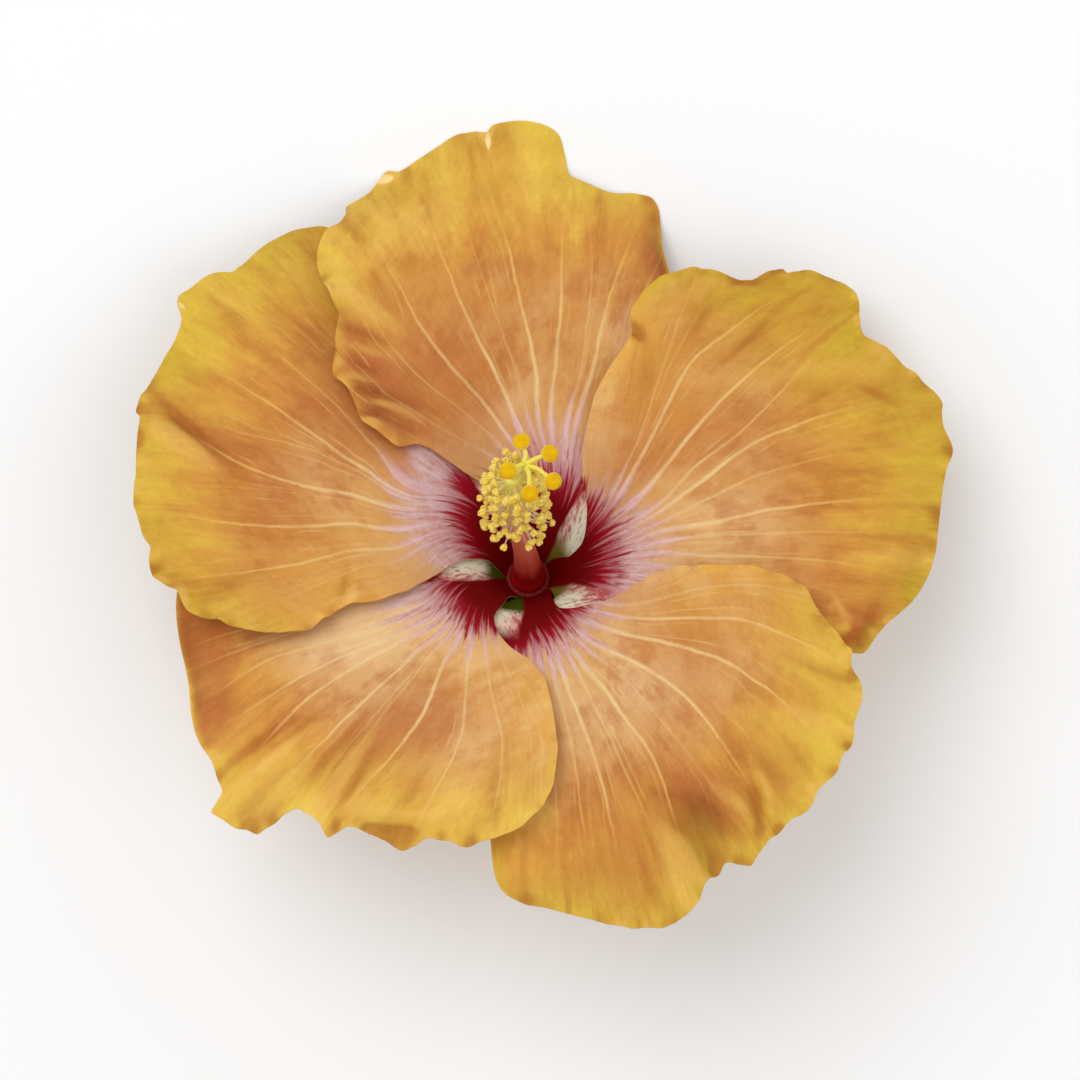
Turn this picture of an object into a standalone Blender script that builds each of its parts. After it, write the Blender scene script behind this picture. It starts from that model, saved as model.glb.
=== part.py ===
"""Tropical hibiscus bloom, picked with a short stalk and laid face up on a table.

Everything on the bloom is made in the bloom's own frame: Z is the axis of the
staminal column, +Y points to the top petal, and the origin is the bottom of the
throat, where the petals' claws meet. An empty tilts that frame so the top
petal's outer part and the stalk lie on the table at Z = 0.
"""
import math
import random

import bmesh
import bpy
import numpy as np
from mathutils import Euler, Matrix, Vector

MM = 0.001

# Pose of the bloom on the table, in millimetres and degrees
TILT = 24.0
THROAT = (-3.4, -13.2, 13.0)

# Petal blades, in millimetres
PETAL_THICK = 0.75
CLAW_REACH = 4.6
CUP_HEIGHT = 27.0
CUP_SCALE = 13.0
DROOP_START = 55.0
TWIST_THROAT = 1.9
TWIST_RIM = 3.6
RUFFLE = 1.1
RUFFLE_WAVES = 7
ROW_REACHES = (0, 1.8, 3.8, 6.4, 9.4, 13.4, 18.5, 25, 33, 42, 52, 61, 68.5, 75)

# The pale ear at the foot of a petal's covered side, narrow or wide enough to
# close the notch in its neighbour, as (degrees from the claw, reach)
NARROW_EAR = ((-25, 4.6), (-34, 8.2), (-52, 11), (-56, 14), (-48, 20))
WIDE_EAR = ((-25, 4.6), (-36, 8.0), (-60, 10.6), (-67, 13), (-66, 16), (-56, 20.5))

# Each petal: the direction of its claw, how fast its outer part droops, its
# covered side from the claw outwards, its free rim, its lapping side from the
# claw outwards, and its folds. Points are (degrees from the claw, reach); folds
# are (degrees, width, height, start reach).
PETALS = {
    "petal_top": {
        "claw": 72.0,
        "droop": 0.0118,
        "covered": WIDE_EAR + ((-36, 30), (-20, 46), (-9, 63)),
        "rim": ((-9, 63), (-5, 70.5), (-3, 75.5), (0, 79), (6, 78), (10, 80),
                (13, 82), (13.5, 86), (16, 89), (20, 89.7), (24, 88.7), (28, 88),
                (33, 85.5), (37, 85), (40, 82.5), (45, 80), (48, 76), (51, 74.5),
                (55, 70), (57, 65), (58, 61)),
        "lapping": ((14, 4.6), (20, 9), (38, 13), (54, 16), (60, 19), (64, 24),
                    (70, 29), (76, 32), (75, 36), (74, 41), (70, 46), (67, 51),
                    (60, 57), (58, 61)),
        "folds": ((-4, 7, -3.0, 45), (15, 6, 1.8, 50), (33, 8, -2.2, 40),
                  (50, 7, 2.4, 35), (68, 7, 1.0, 26)),
    },
    "petal_right": {
        "claw": 0.0,
        "droop": 0.0037,
        "covered": WIDE_EAR + ((-40, 31), (-33, 45), (-28, 59), (-23, 68)),
        "rim": ((-23, 68), (-21, 71), (-16, 73.5), (-13, 76), (-9, 78), (-4, 80),
                (1, 81), (9, 83.5), (12, 86), (17, 85), (22, 85), (25, 82),
                (29, 80.5), (33, 78), (36, 80.5), (40, 81.5), (44, 79), (47, 74),
                (49, 74.5), (51, 69), (55, 66.5), (60, 62), (63, 58)),
        "lapping": ((14, 4.6), (8, 8), (12, 11), (29, 13.5), (51, 17), (58, 20),
                    (62, 24), (65, 31), (64, 38), (63, 45), (65, 51), (63, 58)),
        "folds": ((-19, 5, -1.5, 50), (-6, 7, 1.8, 45), (10, 7, -1.5, 40),
                  (28, 8, 2.2, 40), (45, 7, -1.2, 50), (60, 7, 1.6, 35)),
    },
    "petal_lower_right": {
        "claw": 288.0,
        "droop": 0.0037,
        "covered": NARROW_EAR + ((-38, 30), (-32, 45), (-25.8, 59), (-24, 67)),
        "rim": ((-24, 67), (-23, 71), (-21, 75), (-17, 78), (-13, 81), (-8, 83),
                (-4, 85.5), (0, 87), (4, 86), (6.5, 83), (7.5, 80), (11, 79),
                (13.5, 82), (20, 80.5), (25, 81), (30, 79), (35, 78), (38, 76),
                (41, 75), (44, 72), (46, 69.5), (49, 65), (52, 60)),
        "lapping": ((12, 4.6), (12, 9), (8, 12.5), (9, 15), (16, 18), (24, 20),
                    (34, 22), (43, 23.5), (50, 26), (56, 31), (58, 38), (59, 45),
                    (57, 54), (52, 60)),
        "folds": ((-16, 7, -1.5, 45), (2, 8, 2.0, 40), (17, 5, -2.4, 50),
                  (34, 8, 1.8, 40), (52, 7, 1.4, 35)),
    },
    "petal_lower_left": {
        "claw": 216.0,
        "droop": 0.0037,
        "covered": NARROW_EAR + ((-38, 30), (-35, 42), (-32, 58), (-28, 66), (-25, 70)),
        "rim": ((-25, 70), (-20, 71.5), (-16, 72), (-11, 73.5), (-6, 75), (-1, 78),
                (4, 79), (8, 86), (13, 84), (16, 83), (17, 78), (19, 74.5),
                (22, 74.5), (25, 77), (26, 73), (30, 71.5), (34, 73), (39, 69.5),
                (44, 70), (49, 68.5), (53, 65.5), (57, 61)),
        "lapping": ((14, 4.6), (27, 8), (31, 12), (31, 17), (37, 21), (46, 25),
                    (55, 28), (60, 33), (61, 41), (61, 50), (57, 61)),
        "folds": ((-18, 6, -2.0, 45), (-2, 7, 1.5, 40), (14, 5, -2.0, 45),
                  (24, 4, 2.4, 45), (32, 4, -1.8, 45), (46, 7, 1.5, 40)),
    },
    "petal_left": {
        "claw": 144.0,
        "droop": 0.0037,
        "covered": NARROW_EAR + ((-38, 30), (-34, 46), (-29, 62), (-24, 76)),
        "rim": ((-24, 76), (-21, 79.5), (-17, 81), (-12, 81.5), (-8, 82), (-5, 84.5),
                (-1, 86), (2, 83), (5, 81.5), (13, 81), (18, 81), (21, 80),
                (26, 78.5), (32, 77.5), (36, 75.5), (40, 74), (46, 74), (49, 70.5),
                (53, 69.5), (57, 64), (61, 60)),
        "lapping": ((16, 4.6), (30, 7.5), (42, 11), (52, 15), (60, 19), (65, 26),
                    (66, 33), (64, 41), (66, 49), (64, 55), (61, 60)),
        "folds": ((-20, 6, -2.0, 45), (-4, 8, 1.6, 40), (10, 6, -1.5, 45),
                  (26, 8, 2.2, 40), (42, 7, -1.2, 45), (58, 7, 1.5, 35)),
    },
}

# Staminal column: (distance along the axis, sideways drift, radius)
COLUMN = ((0.3, 0.0, 3.55), (1.8, 0.0, 3.4), (5, 0.0, 2.75), (12, -0.3, 2.35),
          (22, -1.3, 2.1), (33, -2.3, 1.95), (45, -2.8, 1.85), (48.6, -2.8, 1.6))
COLUMN_SIDES = 6
STAMENS = 52
STAMEN_ZONE = (27.0, 47.2)
STAMEN_LENGTH = (3.9, 5.6)
FILAMENT_RADIUS = 0.34
ANTHER_RADIUS = 1.02
GOLDEN_ANGLE = 137.508
SEED = 11

# Pistil: the style's way out of the column, and the five stigmas
SOCKET_RADIUS = 1.1
SOCKET_FLOOR = 46.0
STYLE = ((-2.8, 0.0, 46.3), (-2.8, 0.0, 48.9), (-2.2, 0.4, 50.2), (-0.9, 1.1, 51.3))
STYLE_RADIUS = 0.72
BRANCH_RADIUS = 0.42
STIGMAS = ((-1.2, 5.0, 54.0), (4.3, 2.4, 54.2), (4.9, -3.2, 53.6), (0.4, -5.6, 53.2),
           (-4.6, -0.9, 55.0))
STIGMA_RADIUS = 1.75

# Calyx, epicalyx and stalk
CALYX_THICK = 0.9
CALYX_CLEAR = 2.0
CALYX_CUP = ((2.35, -7.0), (4.2, -6.3), (5.7, -4.3), (6.4, -1.8), (6.6, 0.0))
CALYX_SINUS = 2.2
CALYX_TIP = 12.6
CALYX_COLUMNS = 30
RING = ((2.2, -8.25), (3.1, -8.25), (3.4, -8.8), (3.1, -9.35), (2.2, -9.35))
BRACTEOLES = 7
BRACTEOLE_PATH = ((2.7, -8.8), (5.2, -8.6), (7.7, -6.6), (9.2, -2.8), (10.4, 1.6))
BRACTEOLE_HALF_WIDTHS = (0.8, 0.95, 0.95, 0.75, 0.35)
BRACTEOLE_HALF_THICK = 0.42
RECEPTACLE = ((0.0, -0.4), (4.3, -0.4), (4.5, -1.0), (4.2, -3.4), (3.0, -5.4),
              (1.85, -6.5), (1.85, -9.6), (0.0, -9.6))
STALK_RADIUS = 1.4
STALK = ((0, -3.2, 5.9), (0, -4.1, 3.9), (-0.1, -5.6, 2.35), (-0.4, -7.9, 1.55),
         (-0.8, -11, 1.4), (-1.2, -19, 1.4), (-0.6, -29, 1.4), (1.5, -40, 1.4))

# Colours as linear red, green and blue
COLOURS = {
    "petal_skin": ((0.72, 0.36, 0.10), 0.55),
    "stamens": ((0.74, 0.60, 0.13), 0.6),
    "stigmas": ((0.82, 0.43, 0.02), 0.5),
    "sepal_green": ((0.16, 0.30, 0.06), 0.55),
    "stalk_green": ((0.20, 0.27, 0.07), 0.6),
}


def smoothstep(value):
    value = np.clip(value, 0.0, 1.0)
    return value * value * (3 - 2 * value)


def cup_profile(reach, droop):
    """Height of the bloom's funnel at a distance from its axis."""
    rise = CUP_HEIGHT * (1 - np.exp(-(reach - CLAW_REACH) / CUP_SCALE))
    return rise - droop * np.maximum(0.0, reach - DROOP_START) ** 2


def twist(reach):
    """How far a petal's lapping side stands above its neighbour's covered side."""
    throat = TWIST_THROAT * smoothstep((reach - CLAW_REACH) / 4.4)
    return throat + TWIST_RIM * smoothstep((reach - 12) / 60)


def fold_height(angle, reach, folds):
    height = np.zeros_like(reach)
    for centre, width, size, start in folds:
        across = np.exp(-0.5 * ((angle - centre) / width) ** 2)
        height = height + size * across * smoothstep((reach - start) / (85 - start))
    return height


def rest_on_table(y, z):
    """Raise what would lie below the table to it, so that stretch lies flat."""
    tilt = math.radians(TILT)
    table = (y * math.sin(tilt) - THROAT[2]) / math.cos(tilt)
    return np.maximum(z, table)


def side_angle(points, reach):
    reaches = [point[1] for point in points]
    angles = [point[0] for point in points]
    return np.interp(reach, reaches, angles)


def between_sides(petal, across, reach):
    """Angle at a share of the way from the petal's covered side to its lapping one."""
    left = side_angle(petal["covered"], reach)
    right = side_angle(petal["lapping"], reach)
    return (1 - across) * left + across * right


def petal_points(petal):
    """Rows of points over the petal's underside, from the claw to the rim."""
    rim = petal["rim"]
    last = len(rim) - 1
    rows = []
    for step in ROW_REACHES:
        along = step / ROW_REACHES[-1]
        row = []
        for column, (rim_angle, rim_reach) in enumerate(rim):
            across = column / last
            reach = CLAW_REACH + along * (rim_reach - CLAW_REACH)
            shift = rim_angle - between_sides(petal, across, rim_reach)
            angle = between_sides(petal, across, reach) + along * shift
            ruffle = RUFFLE * along ** 6 * math.sin(RUFFLE_WAVES * math.tau * across)
            height = cup_profile(reach, petal["droop"]) + twist(reach) * angle / 72
            height += float(fold_height(angle, np.float64(reach), petal["folds"])) + ruffle
            turn = math.radians(petal["claw"] + angle)
            x = reach * math.cos(turn)
            y = reach * math.sin(turn)
            row.append((x, y, float(rest_on_table(y, height))))
        rows.append(row)
    return rows


def material(name):
    colour, roughness = COLOURS[name]
    made = bpy.data.materials.get(name)
    if made is None:
        made = bpy.data.materials.new(name)
        made.use_nodes = True
        made.diffuse_color = (*colour, 1)
        shader = made.node_tree.nodes["Principled BSDF"]
        shader.inputs["Base Color"].default_value = (*colour, 1)
        shader.inputs["Roughness"].default_value = roughness
        shader.inputs["Metallic"].default_value = 0.0
    return made


def new_object(name, mesh, finish, collection):
    made = bpy.data.objects.new(name, mesh)
    collection.objects.link(made)
    if finish:
        mesh.materials.clear()
        mesh.materials.append(material(finish))
    return made


def grid_mesh(name, rows, closed=False):
    """An open surface through rows of points, split into triangles."""
    builder = bmesh.new()
    grid = [[builder.verts.new([value * MM for value in point]) for point in row]
            for row in rows]
    count = len(grid[0])
    spans = count if closed else count - 1
    for low, high in zip(grid, grid[1:]):
        for column in range(spans):
            after = (column + 1) % count
            builder.faces.new((low[column], high[after], low[after]))
            builder.faces.new((low[column], high[column], high[after]))
    mesh = bpy.data.meshes.new(name)
    builder.to_mesh(mesh)
    builder.free()
    return mesh


def solidify(thing, thickness, offset):
    shell = thing.modifiers.new("Thickness", "SOLIDIFY")
    shell.thickness = thickness * MM
    shell.offset = offset


def tube(name, points, radii, sides, collection):
    """A round tube through the points, made a mesh with its caps welded on."""
    curve = bpy.data.curves.new(name, "CURVE")
    curve.dimensions = "3D"
    curve.bevel_depth = MM
    curve.bevel_resolution = sides
    curve.use_fill_caps = True
    spline = curve.splines.new("POLY")
    spline.points.add(len(points) - 1)
    for knot, point, radius in zip(spline.points, points, radii):
        knot.co = (*[value * MM for value in point], 1)
        knot.radius = radius
    drawn = bpy.data.objects.new(name + "_line", curve)
    collection.objects.link(drawn)
    graph = bpy.context.evaluated_depsgraph_get()
    mesh = bpy.data.meshes.new_from_object(drawn.evaluated_get(graph))
    bpy.data.objects.remove(drawn)
    bpy.data.curves.remove(curve)
    weld(mesh)
    return new_object(name, mesh, None, collection)


def weld(mesh):
    builder = bmesh.new()
    builder.from_mesh(mesh)
    bmesh.ops.remove_doubles(builder, verts=builder.verts, dist=0.00001)
    bmesh.ops.recalc_face_normals(builder, faces=builder.faces)
    builder.to_mesh(mesh)
    builder.free()


def turned(name, profile, steps, finish, collection):
    """A solid of revolution from (radius, height) points, top to bottom."""
    builder = bmesh.new()
    points = [builder.verts.new((radius * MM, 0, height * MM)) for radius, height in profile]
    for upper, lower in zip(points, points[1:]):
        builder.edges.new((upper, lower))
    mesh = bpy.data.meshes.new(name)
    builder.to_mesh(mesh)
    builder.free()
    made = new_object(name, mesh, finish, collection)
    spin = made.modifiers.new("Turned", "SCREW")
    spin.steps = steps
    spin.render_steps = steps
    spin.use_merge_vertices = True
    spin.merge_threshold = 0.00001
    return made


def apply_modifiers(thing):
    graph = bpy.context.evaluated_depsgraph_get()
    mesh = bpy.data.meshes.new_from_object(thing.evaluated_get(graph))
    thing.modifiers.clear()
    thing.data = mesh


def fuse(thing, pieces, solver="EXACT"):
    """One union of a solid with every object of a collection, then applied."""
    union = thing.modifiers.new("Union", "BOOLEAN")
    union.operation = "UNION"
    union.operand_type = "COLLECTION"
    union.collection = pieces
    union.solver = solver
    apply_modifiers(thing)
    for piece in list(pieces.objects):
        bpy.data.objects.remove(piece)
    bpy.data.collections.remove(pieces)


def cut(thing, cutter):
    hole = thing.modifiers.new("Socket", "BOOLEAN")
    hole.operation = "DIFFERENCE"
    hole.object = cutter
    hole.solver = "EXACT"
    apply_modifiers(thing)
    bpy.data.objects.remove(cutter)


def new_collection(name):
    made = bpy.data.collections.new(name)
    bpy.context.scene.collection.children.link(made)
    return made


def smooth(thing, angle=40):
    thing.data.shade_smooth()
    thing.data.set_sharp_from_angle(angle=math.radians(angle))


def make_petals(flower):
    petals = []
    for name, petal in PETALS.items():
        mesh = grid_mesh(name, petal_points(petal))
        blade = new_object(name, mesh, "petal_skin", flower)
        solidify(blade, PETAL_THICK, 1)
        mesh.shade_smooth()
        petals.append(blade)
    return petals


def column_centre(height):
    heights = [point[0] for point in COLUMN]
    drift = np.interp(height, heights, [point[1] for point in COLUMN])
    radius = np.interp(height, heights, [point[2] for point in COLUMN])
    return float(drift), float(radius)


def add_stamen(index, draw, pieces):
    """One filament and its anther, at the next golden angle up the column."""
    share = (index + 0.5) / STAMENS
    low, high = STAMEN_ZONE
    height = low + (high - low) * share
    drift, radius = column_centre(height)
    turn = math.radians(index * GOLDEN_ANGLE) + draw.uniform(-0.12, 0.12)
    length = draw.uniform(*STAMEN_LENGTH) * (1 - 0.25 * share)
    rise = math.radians(draw.uniform(5, 28) + 26 * share)
    out = Vector((math.cos(turn) * math.cos(rise), math.sin(turn) * math.cos(rise),
                  math.sin(rise)))
    root = Vector((drift, 0, height)) + Vector((out.x, out.y, 0)) * (radius - 0.7)
    tip = root + out * (length + 0.7)
    filament = bmesh.new()
    bmesh.ops.create_cone(filament, cap_ends=True, cap_tris=True, segments=4,
                          radius1=FILAMENT_RADIUS * 1.25 * MM, radius2=FILAMENT_RADIUS * MM,
                          depth=(length + 0.7) * MM)
    aim = out.to_track_quat("Z", "Y").to_matrix().to_4x4()
    place = Matrix.Translation((root + tip) / 2 * MM) @ aim
    bmesh.ops.transform(filament, matrix=place, verts=filament.verts)
    mesh = bpy.data.meshes.new("filament")
    filament.to_mesh(mesh)
    filament.free()
    new_object("filament", mesh, None, pieces)
    anther = bmesh.new()
    bmesh.ops.create_icosphere(anther, subdivisions=1, radius=ANTHER_RADIUS * MM)
    roll = Euler((draw.uniform(0, math.pi), draw.uniform(0, math.pi), 0)).to_matrix().to_4x4()
    bmesh.ops.transform(anther, matrix=Matrix.Translation(tip * MM) @ roll,
                        verts=anther.verts)
    mesh = bpy.data.meshes.new("anther")
    anther.to_mesh(mesh)
    anther.free()
    new_object("anther", mesh, None, pieces)


def make_column(flower):
    draw = random.Random(SEED)
    points = [(drift, 0, height) for height, drift, _ in COLUMN]
    column = tube("staminal_column", points, [row[2] for row in COLUMN],
                  COLUMN_SIDES, flower)
    pieces = new_collection("stamen_pieces")
    for index in range(STAMENS):
        add_stamen(index, draw, pieces)
    fuse(column, pieces)
    depth = COLUMN[-1][0] - SOCKET_FLOOR + 4
    drift = column_centre(COLUMN[-1][0])[0]
    socket = bmesh.new()
    bmesh.ops.create_cone(socket, cap_ends=True, segments=12, radius1=SOCKET_RADIUS * MM,
                          radius2=SOCKET_RADIUS * MM, depth=depth * MM)
    centre = Vector((drift, 0, SOCKET_FLOOR + depth / 2)) * MM
    bmesh.ops.translate(socket, verts=socket.verts, vec=centre)
    mesh = bpy.data.meshes.new("socket")
    socket.to_mesh(mesh)
    socket.free()
    cutter = new_object("socket", mesh, None, flower)
    cutter.hide_render = True
    cutter.display_type = "WIRE"
    cut(column, cutter)
    column.data.materials.clear()
    column.data.materials.append(material("stamens"))
    smooth(column)
    return column


def make_pistil(flower):
    style = tube("pistil", STYLE, [STYLE_RADIUS] * len(STYLE), 2, flower)
    pieces = new_collection("pistil_pieces")
    fork = Vector(STYLE[-1])
    below = Vector(STYLE[-2])
    for place in STIGMAS:
        tip = Vector(place)
        bend = fork + (fork - below) * 0.5 + (tip - fork) * 0.35
        branch = (below + (fork - below) * 0.6, fork, bend, tip)
        tube("branch", branch, [BRANCH_RADIUS] * 4, 1, pieces)
        stigma = bmesh.new()
        bmesh.ops.create_icosphere(stigma, subdivisions=2, radius=STIGMA_RADIUS * MM)
        bmesh.ops.translate(stigma, verts=stigma.verts, vec=tip * MM)
        mesh = bpy.data.meshes.new("stigma")
        stigma.to_mesh(mesh)
        stigma.free()
        new_object("stigma", mesh, None, pieces)
    fuse(style, pieces)
    style.data.materials.clear()
    style.data.materials.append(material("stigmas"))
    smooth(style)
    return style


def calyx_wall(height):
    """Reach of the calyx's inner face, which follows the petals from below."""
    return CALYX_CLEAR + CLAW_REACH - CUP_SCALE * math.log(1 - height / CUP_HEIGHT)


def make_calyx(flower):
    """A cup with five pointed lobes, each behind the gap between two claws."""
    rows = [[] for _ in range(len(CALYX_CUP) + 4)]
    for column in range(CALYX_COLUMNS):
        turn = math.tau * column / CALYX_COLUMNS
        point = abs(((math.degrees(turn) - 36) / 72 + 0.5) % 1 - 0.5) * 2
        top = CALYX_SINUS + (CALYX_TIP - CALYX_SINUS) * (1 - point) ** 1.15
        wall = [(calyx_wall(top * share), top * share) for share in (0.28, 0.55, 0.8, 1)]
        for row, (reach, height) in zip(rows, CALYX_CUP + tuple(wall)):
            row.append((reach * math.cos(turn), reach * math.sin(turn), height))
    mesh = grid_mesh("calyx", rows, closed=True)
    cup = new_object("calyx", mesh, "sepal_green", flower)
    solidify(cup, CALYX_THICK, -1)
    mesh.shade_smooth()
    return cup


def bracteole_mesh(turn):
    """A slim four-sided blade that bends up and out from the ring."""
    out = Vector((math.cos(turn), math.sin(turn), 0))
    side = Vector((-out.y, out.x, 0))
    up = Vector((0, 0, 1))
    path = [out * reach + up * height for reach, height in BRACTEOLE_PATH]
    builder = bmesh.new()
    rings = []
    for index, centre in enumerate(path):
        ahead = path[min(index + 1, len(path) - 1)]
        behind = path[max(index - 1, 0)]
        normal = side.cross(ahead - behind).normalized()
        half = BRACTEOLE_HALF_WIDTHS[index]
        corners = (side * half, normal * BRACTEOLE_HALF_THICK, -side * half,
                   -normal * BRACTEOLE_HALF_THICK)
        rings.append([builder.verts.new((centre + corner) * MM) for corner in corners])
    for low, high in zip(rings, rings[1:]):
        for corner in range(4):
            after = (corner + 1) % 4
            builder.faces.new((low[corner], low[after], high[after], high[corner]))
    builder.faces.new(rings[0])
    builder.faces.new(rings[-1])
    bmesh.ops.recalc_face_normals(builder, faces=builder.faces)
    mesh = bpy.data.meshes.new("bracteole")
    builder.to_mesh(mesh)
    builder.free()
    return mesh


def make_epicalyx(flower):
    ring = turned("epicalyx", RING + RING[:1], 20, "sepal_green", flower)
    pieces = new_collection("bracteole_pieces")
    for index in range(BRACTEOLES):
        turn = math.tau * (index + 0.25) / BRACTEOLES
        new_object("bracteole", bracteole_mesh(turn), None, pieces)
    fuse(ring, pieces)
    smooth(ring)
    return ring


def make_pedicel(flower, frame):
    """The receptacle inside the calyx and the stalk that bends to the table."""
    receptacle = turned("pedicel", RECEPTACLE, 20, "stalk_green", flower)
    pieces = new_collection("stalk_pieces")
    throat = Vector(THROAT)
    back = frame.matrix_world.inverted()
    world = [Vector((x + throat.x, y + throat.y, z)) for x, y, z in STALK]
    local = [tuple((back @ (point * MM)) / MM) for point in world]
    tube("stalk", local, [STALK_RADIUS] * len(local), 3, pieces)
    fuse(receptacle, pieces)
    smooth(receptacle)
    return receptacle


def main():
    for old in list(bpy.data.objects):
        bpy.data.objects.remove(old, do_unlink=True)
    flower = new_collection("hibiscus_flower")
    frame = bpy.data.objects.new("bloom_frame", None)
    flower.objects.link(frame)
    frame.location = [value * MM for value in THROAT]
    frame.rotation_euler = (-math.radians(TILT), 0, 0)
    bpy.context.view_layer.update()
    pieces = make_petals(flower)
    pieces.append(make_column(flower))
    pieces.append(make_pistil(flower))
    pieces.append(make_calyx(flower))
    pieces.append(make_epicalyx(flower))
    pieces.append(make_pedicel(flower, frame))
    for piece in pieces:
        piece.parent = frame


main()
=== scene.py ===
import math
import random

import bpy
import numpy as np
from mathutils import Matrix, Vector


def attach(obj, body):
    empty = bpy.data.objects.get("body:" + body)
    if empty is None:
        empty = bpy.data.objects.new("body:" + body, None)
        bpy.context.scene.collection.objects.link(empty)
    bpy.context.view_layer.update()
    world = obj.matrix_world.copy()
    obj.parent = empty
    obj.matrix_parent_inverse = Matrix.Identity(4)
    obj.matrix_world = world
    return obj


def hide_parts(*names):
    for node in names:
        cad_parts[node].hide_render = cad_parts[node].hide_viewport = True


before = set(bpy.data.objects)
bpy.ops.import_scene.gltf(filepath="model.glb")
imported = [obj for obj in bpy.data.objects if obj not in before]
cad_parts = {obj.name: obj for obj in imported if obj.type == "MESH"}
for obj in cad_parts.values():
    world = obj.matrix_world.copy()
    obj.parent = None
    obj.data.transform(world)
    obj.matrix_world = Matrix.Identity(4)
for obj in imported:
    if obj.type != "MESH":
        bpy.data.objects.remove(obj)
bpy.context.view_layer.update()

# The bloom's own frame: Z along the staminal column, +Y to the top petal, the
# origin at the bottom of the throat. Millimetres and degrees until to_world.
MM = 0.001
TILT = math.radians(24.0)
THROAT = np.array((-3.4, -13.2, 13.0))

# Petal blades. A twist is (height across 72 degrees, start, length).
CLAW_REACH = 4.6
CUP_HEIGHT = 27.0
CUP_SCALE = 13.0
DROOP_START = 55.0
TWISTS = ((1.9, CLAW_REACH, 4.4), (3.6, 12.0, 60.0))
FOLD_END = 85.0
COLUMNS = 176
ROWS = 150
ROW_CROWDING = 1.3
SIDE_STEP = 0.1
SIDE_ROUNDING = 0.6
SIDE_SPREADS = 5
RIM_DEGREE = 1.3
EDGE_THICK = 0.28
BLADE_THICK = 0.24
BLADE_DEPTH = 7.0
CLAW_THICK = 0.06
CLAW_FADE = (6.0, 14.0)
STEEPEST = 0.38
SHARP = math.radians(50)
TABLE_EASE = 1.0

# Each claw flares to a seat against the base of the column
SEAT_REACH = 3.6
SEAT_RISE = 2.35
SEAT_LENGTH = 1.9
SEAT_FLARE = ((36, 3.6), (35, 5.0))

# Ruffles along a free edge: (wavelength, height, depth from the edge). UNEVEN is how
# far and how fast their spacing sways, and LIFT_ACROSS how their lift grows with the
# angle: (angle for the whole lift, least, most).
RUFFLES = ((16.0, 0.70, 13.0), (7.4, 0.72, 10.0), (3.7, 0.16, 4.0))
UNEVEN = (1.3, 0.37)
EDGE_FREE = (22.0, 22.0)
BLEND = (0.30, 0.16)
EDGE_CRISP = (0.6, 3.4)
RUFFLE_FADE = 1.5
RUFFLE_LIFT = 0.45
LIFT_ACROSS = (60, -0.3, 1)
RUFFLE_BLUR = (5, 5)
HOLLOW_BLUR = (5, 6)

# The veins are given by their angles at 24, 35, 46, 57 and 68 mm. At the claw and
# in the throat they spread as (first angle, spread), and more run unseen beside
# them, at these steps of angle.
VEIN_STEP = 11.0
VEIN_START = 2.0
VEINS_AT_CLAW = (-19, 28)
VEINS_IN_THROAT = (-30, 62)
VEIN_MIX = (0.45, 0.275, 0.25)
VEIN_RUN_ON = (0.6, 0.3)
VEIN_APART = 1.5
LEAST_GAP = 0.5
VEINS_BESIDE = (3.0, 6.0, 9, 8, 8, 8, 8, 8, 8)
UNSEEN_VEIN = 0.12
PUFF_HEIGHT = 0.10
PUFF_GAP = 5.0
PUFF_FROM = (25.0, 25.0)
BLUSH_CURVE = 0.0022
GOLD_FROM = (20.0, 20.0)
GOLD_FADE = 1.4
PETAL_TURN = 72

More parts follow.
